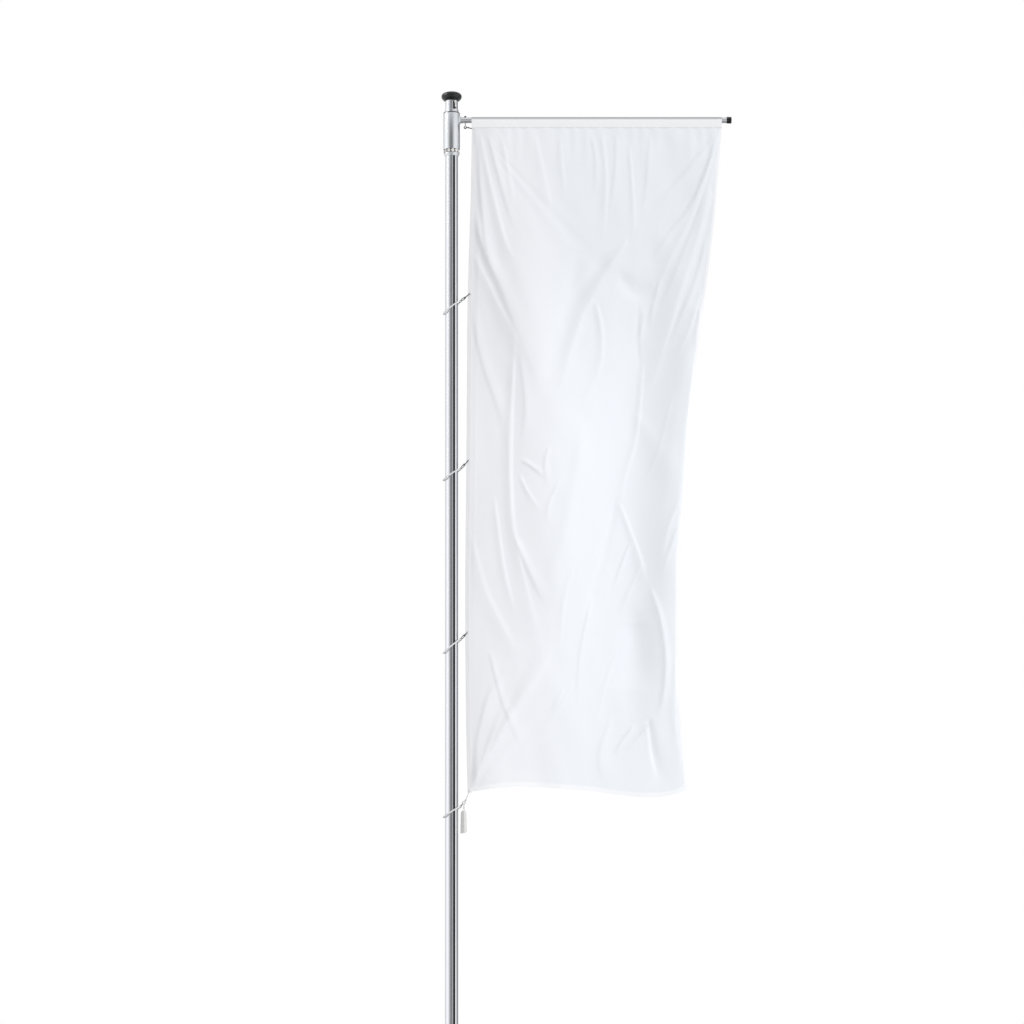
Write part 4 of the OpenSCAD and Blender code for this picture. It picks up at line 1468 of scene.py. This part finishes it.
def studioWorld():
    s = lightSet
    world = bpy.data.worlds.new("studio")
    scene.world = world
    world.use_nodes = True
    tree = world.node_tree
    tree.nodes.clear()
    direction = addNode(tree, "ShaderNodeTexCoord").outputs["Generated"]
    way = addNode(tree, "ShaderNodeSeparateXYZ", {0: direction})
    x, y, z = way.outputs
    turn = calc(tree, "DEGREES", calc(tree, "ARCTAN2", x, calc(tree, "MULTIPLY", y, -1.0)))
    place = calc(tree, "DIVIDE", calc(tree, "ADD", turn, 180.0), 360.0)
    ramp = addNode(tree, "ShaderNodeValToRGB", {0: place})
    ramp.color_ramp.interpolation = "EASE"
    while len(ramp.color_ramp.elements) < len(surround):
        ramp.color_ramp.elements.new(0.5)
    for element, (degrees, level) in zip(ramp.color_ramp.elements, surround):
        element.position = (degrees + 180) / 360
        element.color = (level / surroundPeak, level / surroundPeak, level / surroundPeak, 1)
    panels = calc(tree, "MULTIPLY", ramp.outputs[0], surroundPeak)
    up = calc(tree, "DEGREES", calc(tree, "ARCSINE", z))
    # overhead there is only the white ceiling and a small lamp, and below the ground darkens towards the feet
    overhead = remap(tree, up, 18, 25)
    ground = calc(tree, "MULTIPLY", remap(tree, up, -62, -30, 0.4, 1.0),
                  calc(tree, "ADD", calc(tree, "MULTIPLY", panels, 0.5), 0.5))
    level = addNode(tree, "ShaderNodeMix", {0: remap(tree, up, -7, 1), 2: ground, 3: panels}).outputs[0]
    mirrored = addNode(tree, "ShaderNodeMix", {0: overhead, 2: level, 3: 0.85}).outputs[0]
    facing = addNode(tree, "ShaderNodeVectorMath", {0: direction, 1: s["lampAt"]},
                     operation="DOT_PRODUCT").outputs["Value"]
    mirrored = calc(tree, "ADD", mirrored, remap(tree, facing, 0.965, 0.99, 0.0, s["lamp"]))
    rays = addNode(tree, "ShaderNodeLightPath")
    soft = calc(tree, "ADD", s["fill"], calc(tree, "MULTIPLY", x, s["lean"]))
    seen, glossy = rays.outputs["Is Camera Ray"], rays.outputs["Is Glossy Ray"]
    strength = addNode(tree, "ShaderNodeMix", {0: glossy, 2: soft, 3: mirrored}).outputs[0]
    strength = addNode(tree, "ShaderNodeMix", {0: seen, 2: strength, 3: 1.0}).outputs[0]
    colour = addNode(tree, "ShaderNodeBackground", {"Color": (1, 1, 1, 1), "Strength": strength})
    addNode(tree, "ShaderNodeOutputWorld", {"Surface": colour.outputs[0]})


studioWorld()

sun = bpy.data.objects.new("SoftKey", bpy.data.lights.new("SoftKey", "SUN"))
sun.data.energy = lightSet["sun"]
sun.data.color = (0.96, 0.98, 1.0)
sun.data.angle = math.radians(30)
sun.rotation_euler = Vector(lightSet["sunFrom"]).to_track_quat("Z", "Y").to_euler()
sun.visible_glossy = False
scene.collection.objects.link(sun)

floorMesh = bpy.data.meshes.new("Floor")
reach = lightSet["floor"]
floorMesh.from_pydata([(-reach, -reach, -0.002), (reach, -reach, -0.002), (reach, reach, -0.002),
                       (-reach, reach, -0.002)], [], [(0, 1, 2, 3)])
floor = bpy.data.objects.new("Floor", floorMesh)
scene.collection.objects.link(floor)
floorPaint, _, floorShader = newMaterial("pale studio floor")
setInputs(floorShader, Base_Color=linear("#e9eaec"), Roughness=0.9, Specular_IOR_Level=0.1)
floor.data.materials.append(floorPaint)
floor.visible_glossy = False


# camera: a standing person's view from 22 m away

cameraSet = dict(place=(0, -22.0, 1.53), tilt=10.3, lens=135.7, shift=0.059)
camera = bpy.data.objects.new("Camera", bpy.data.cameras.new("Camera"))
camera.location = cameraSet["place"]
camera.rotation_euler = (math.radians(90 + cameraSet["tilt"]), 0, 0)
camera.data.lens = cameraSet["lens"]
camera.data.sensor_width = 36
camera.data.shift_x = cameraSet["shift"]
camera.data.clip_end = 300
scene.collection.objects.link(camera)
scene.camera = camera
scene.view_settings.view_transform = "Standard"
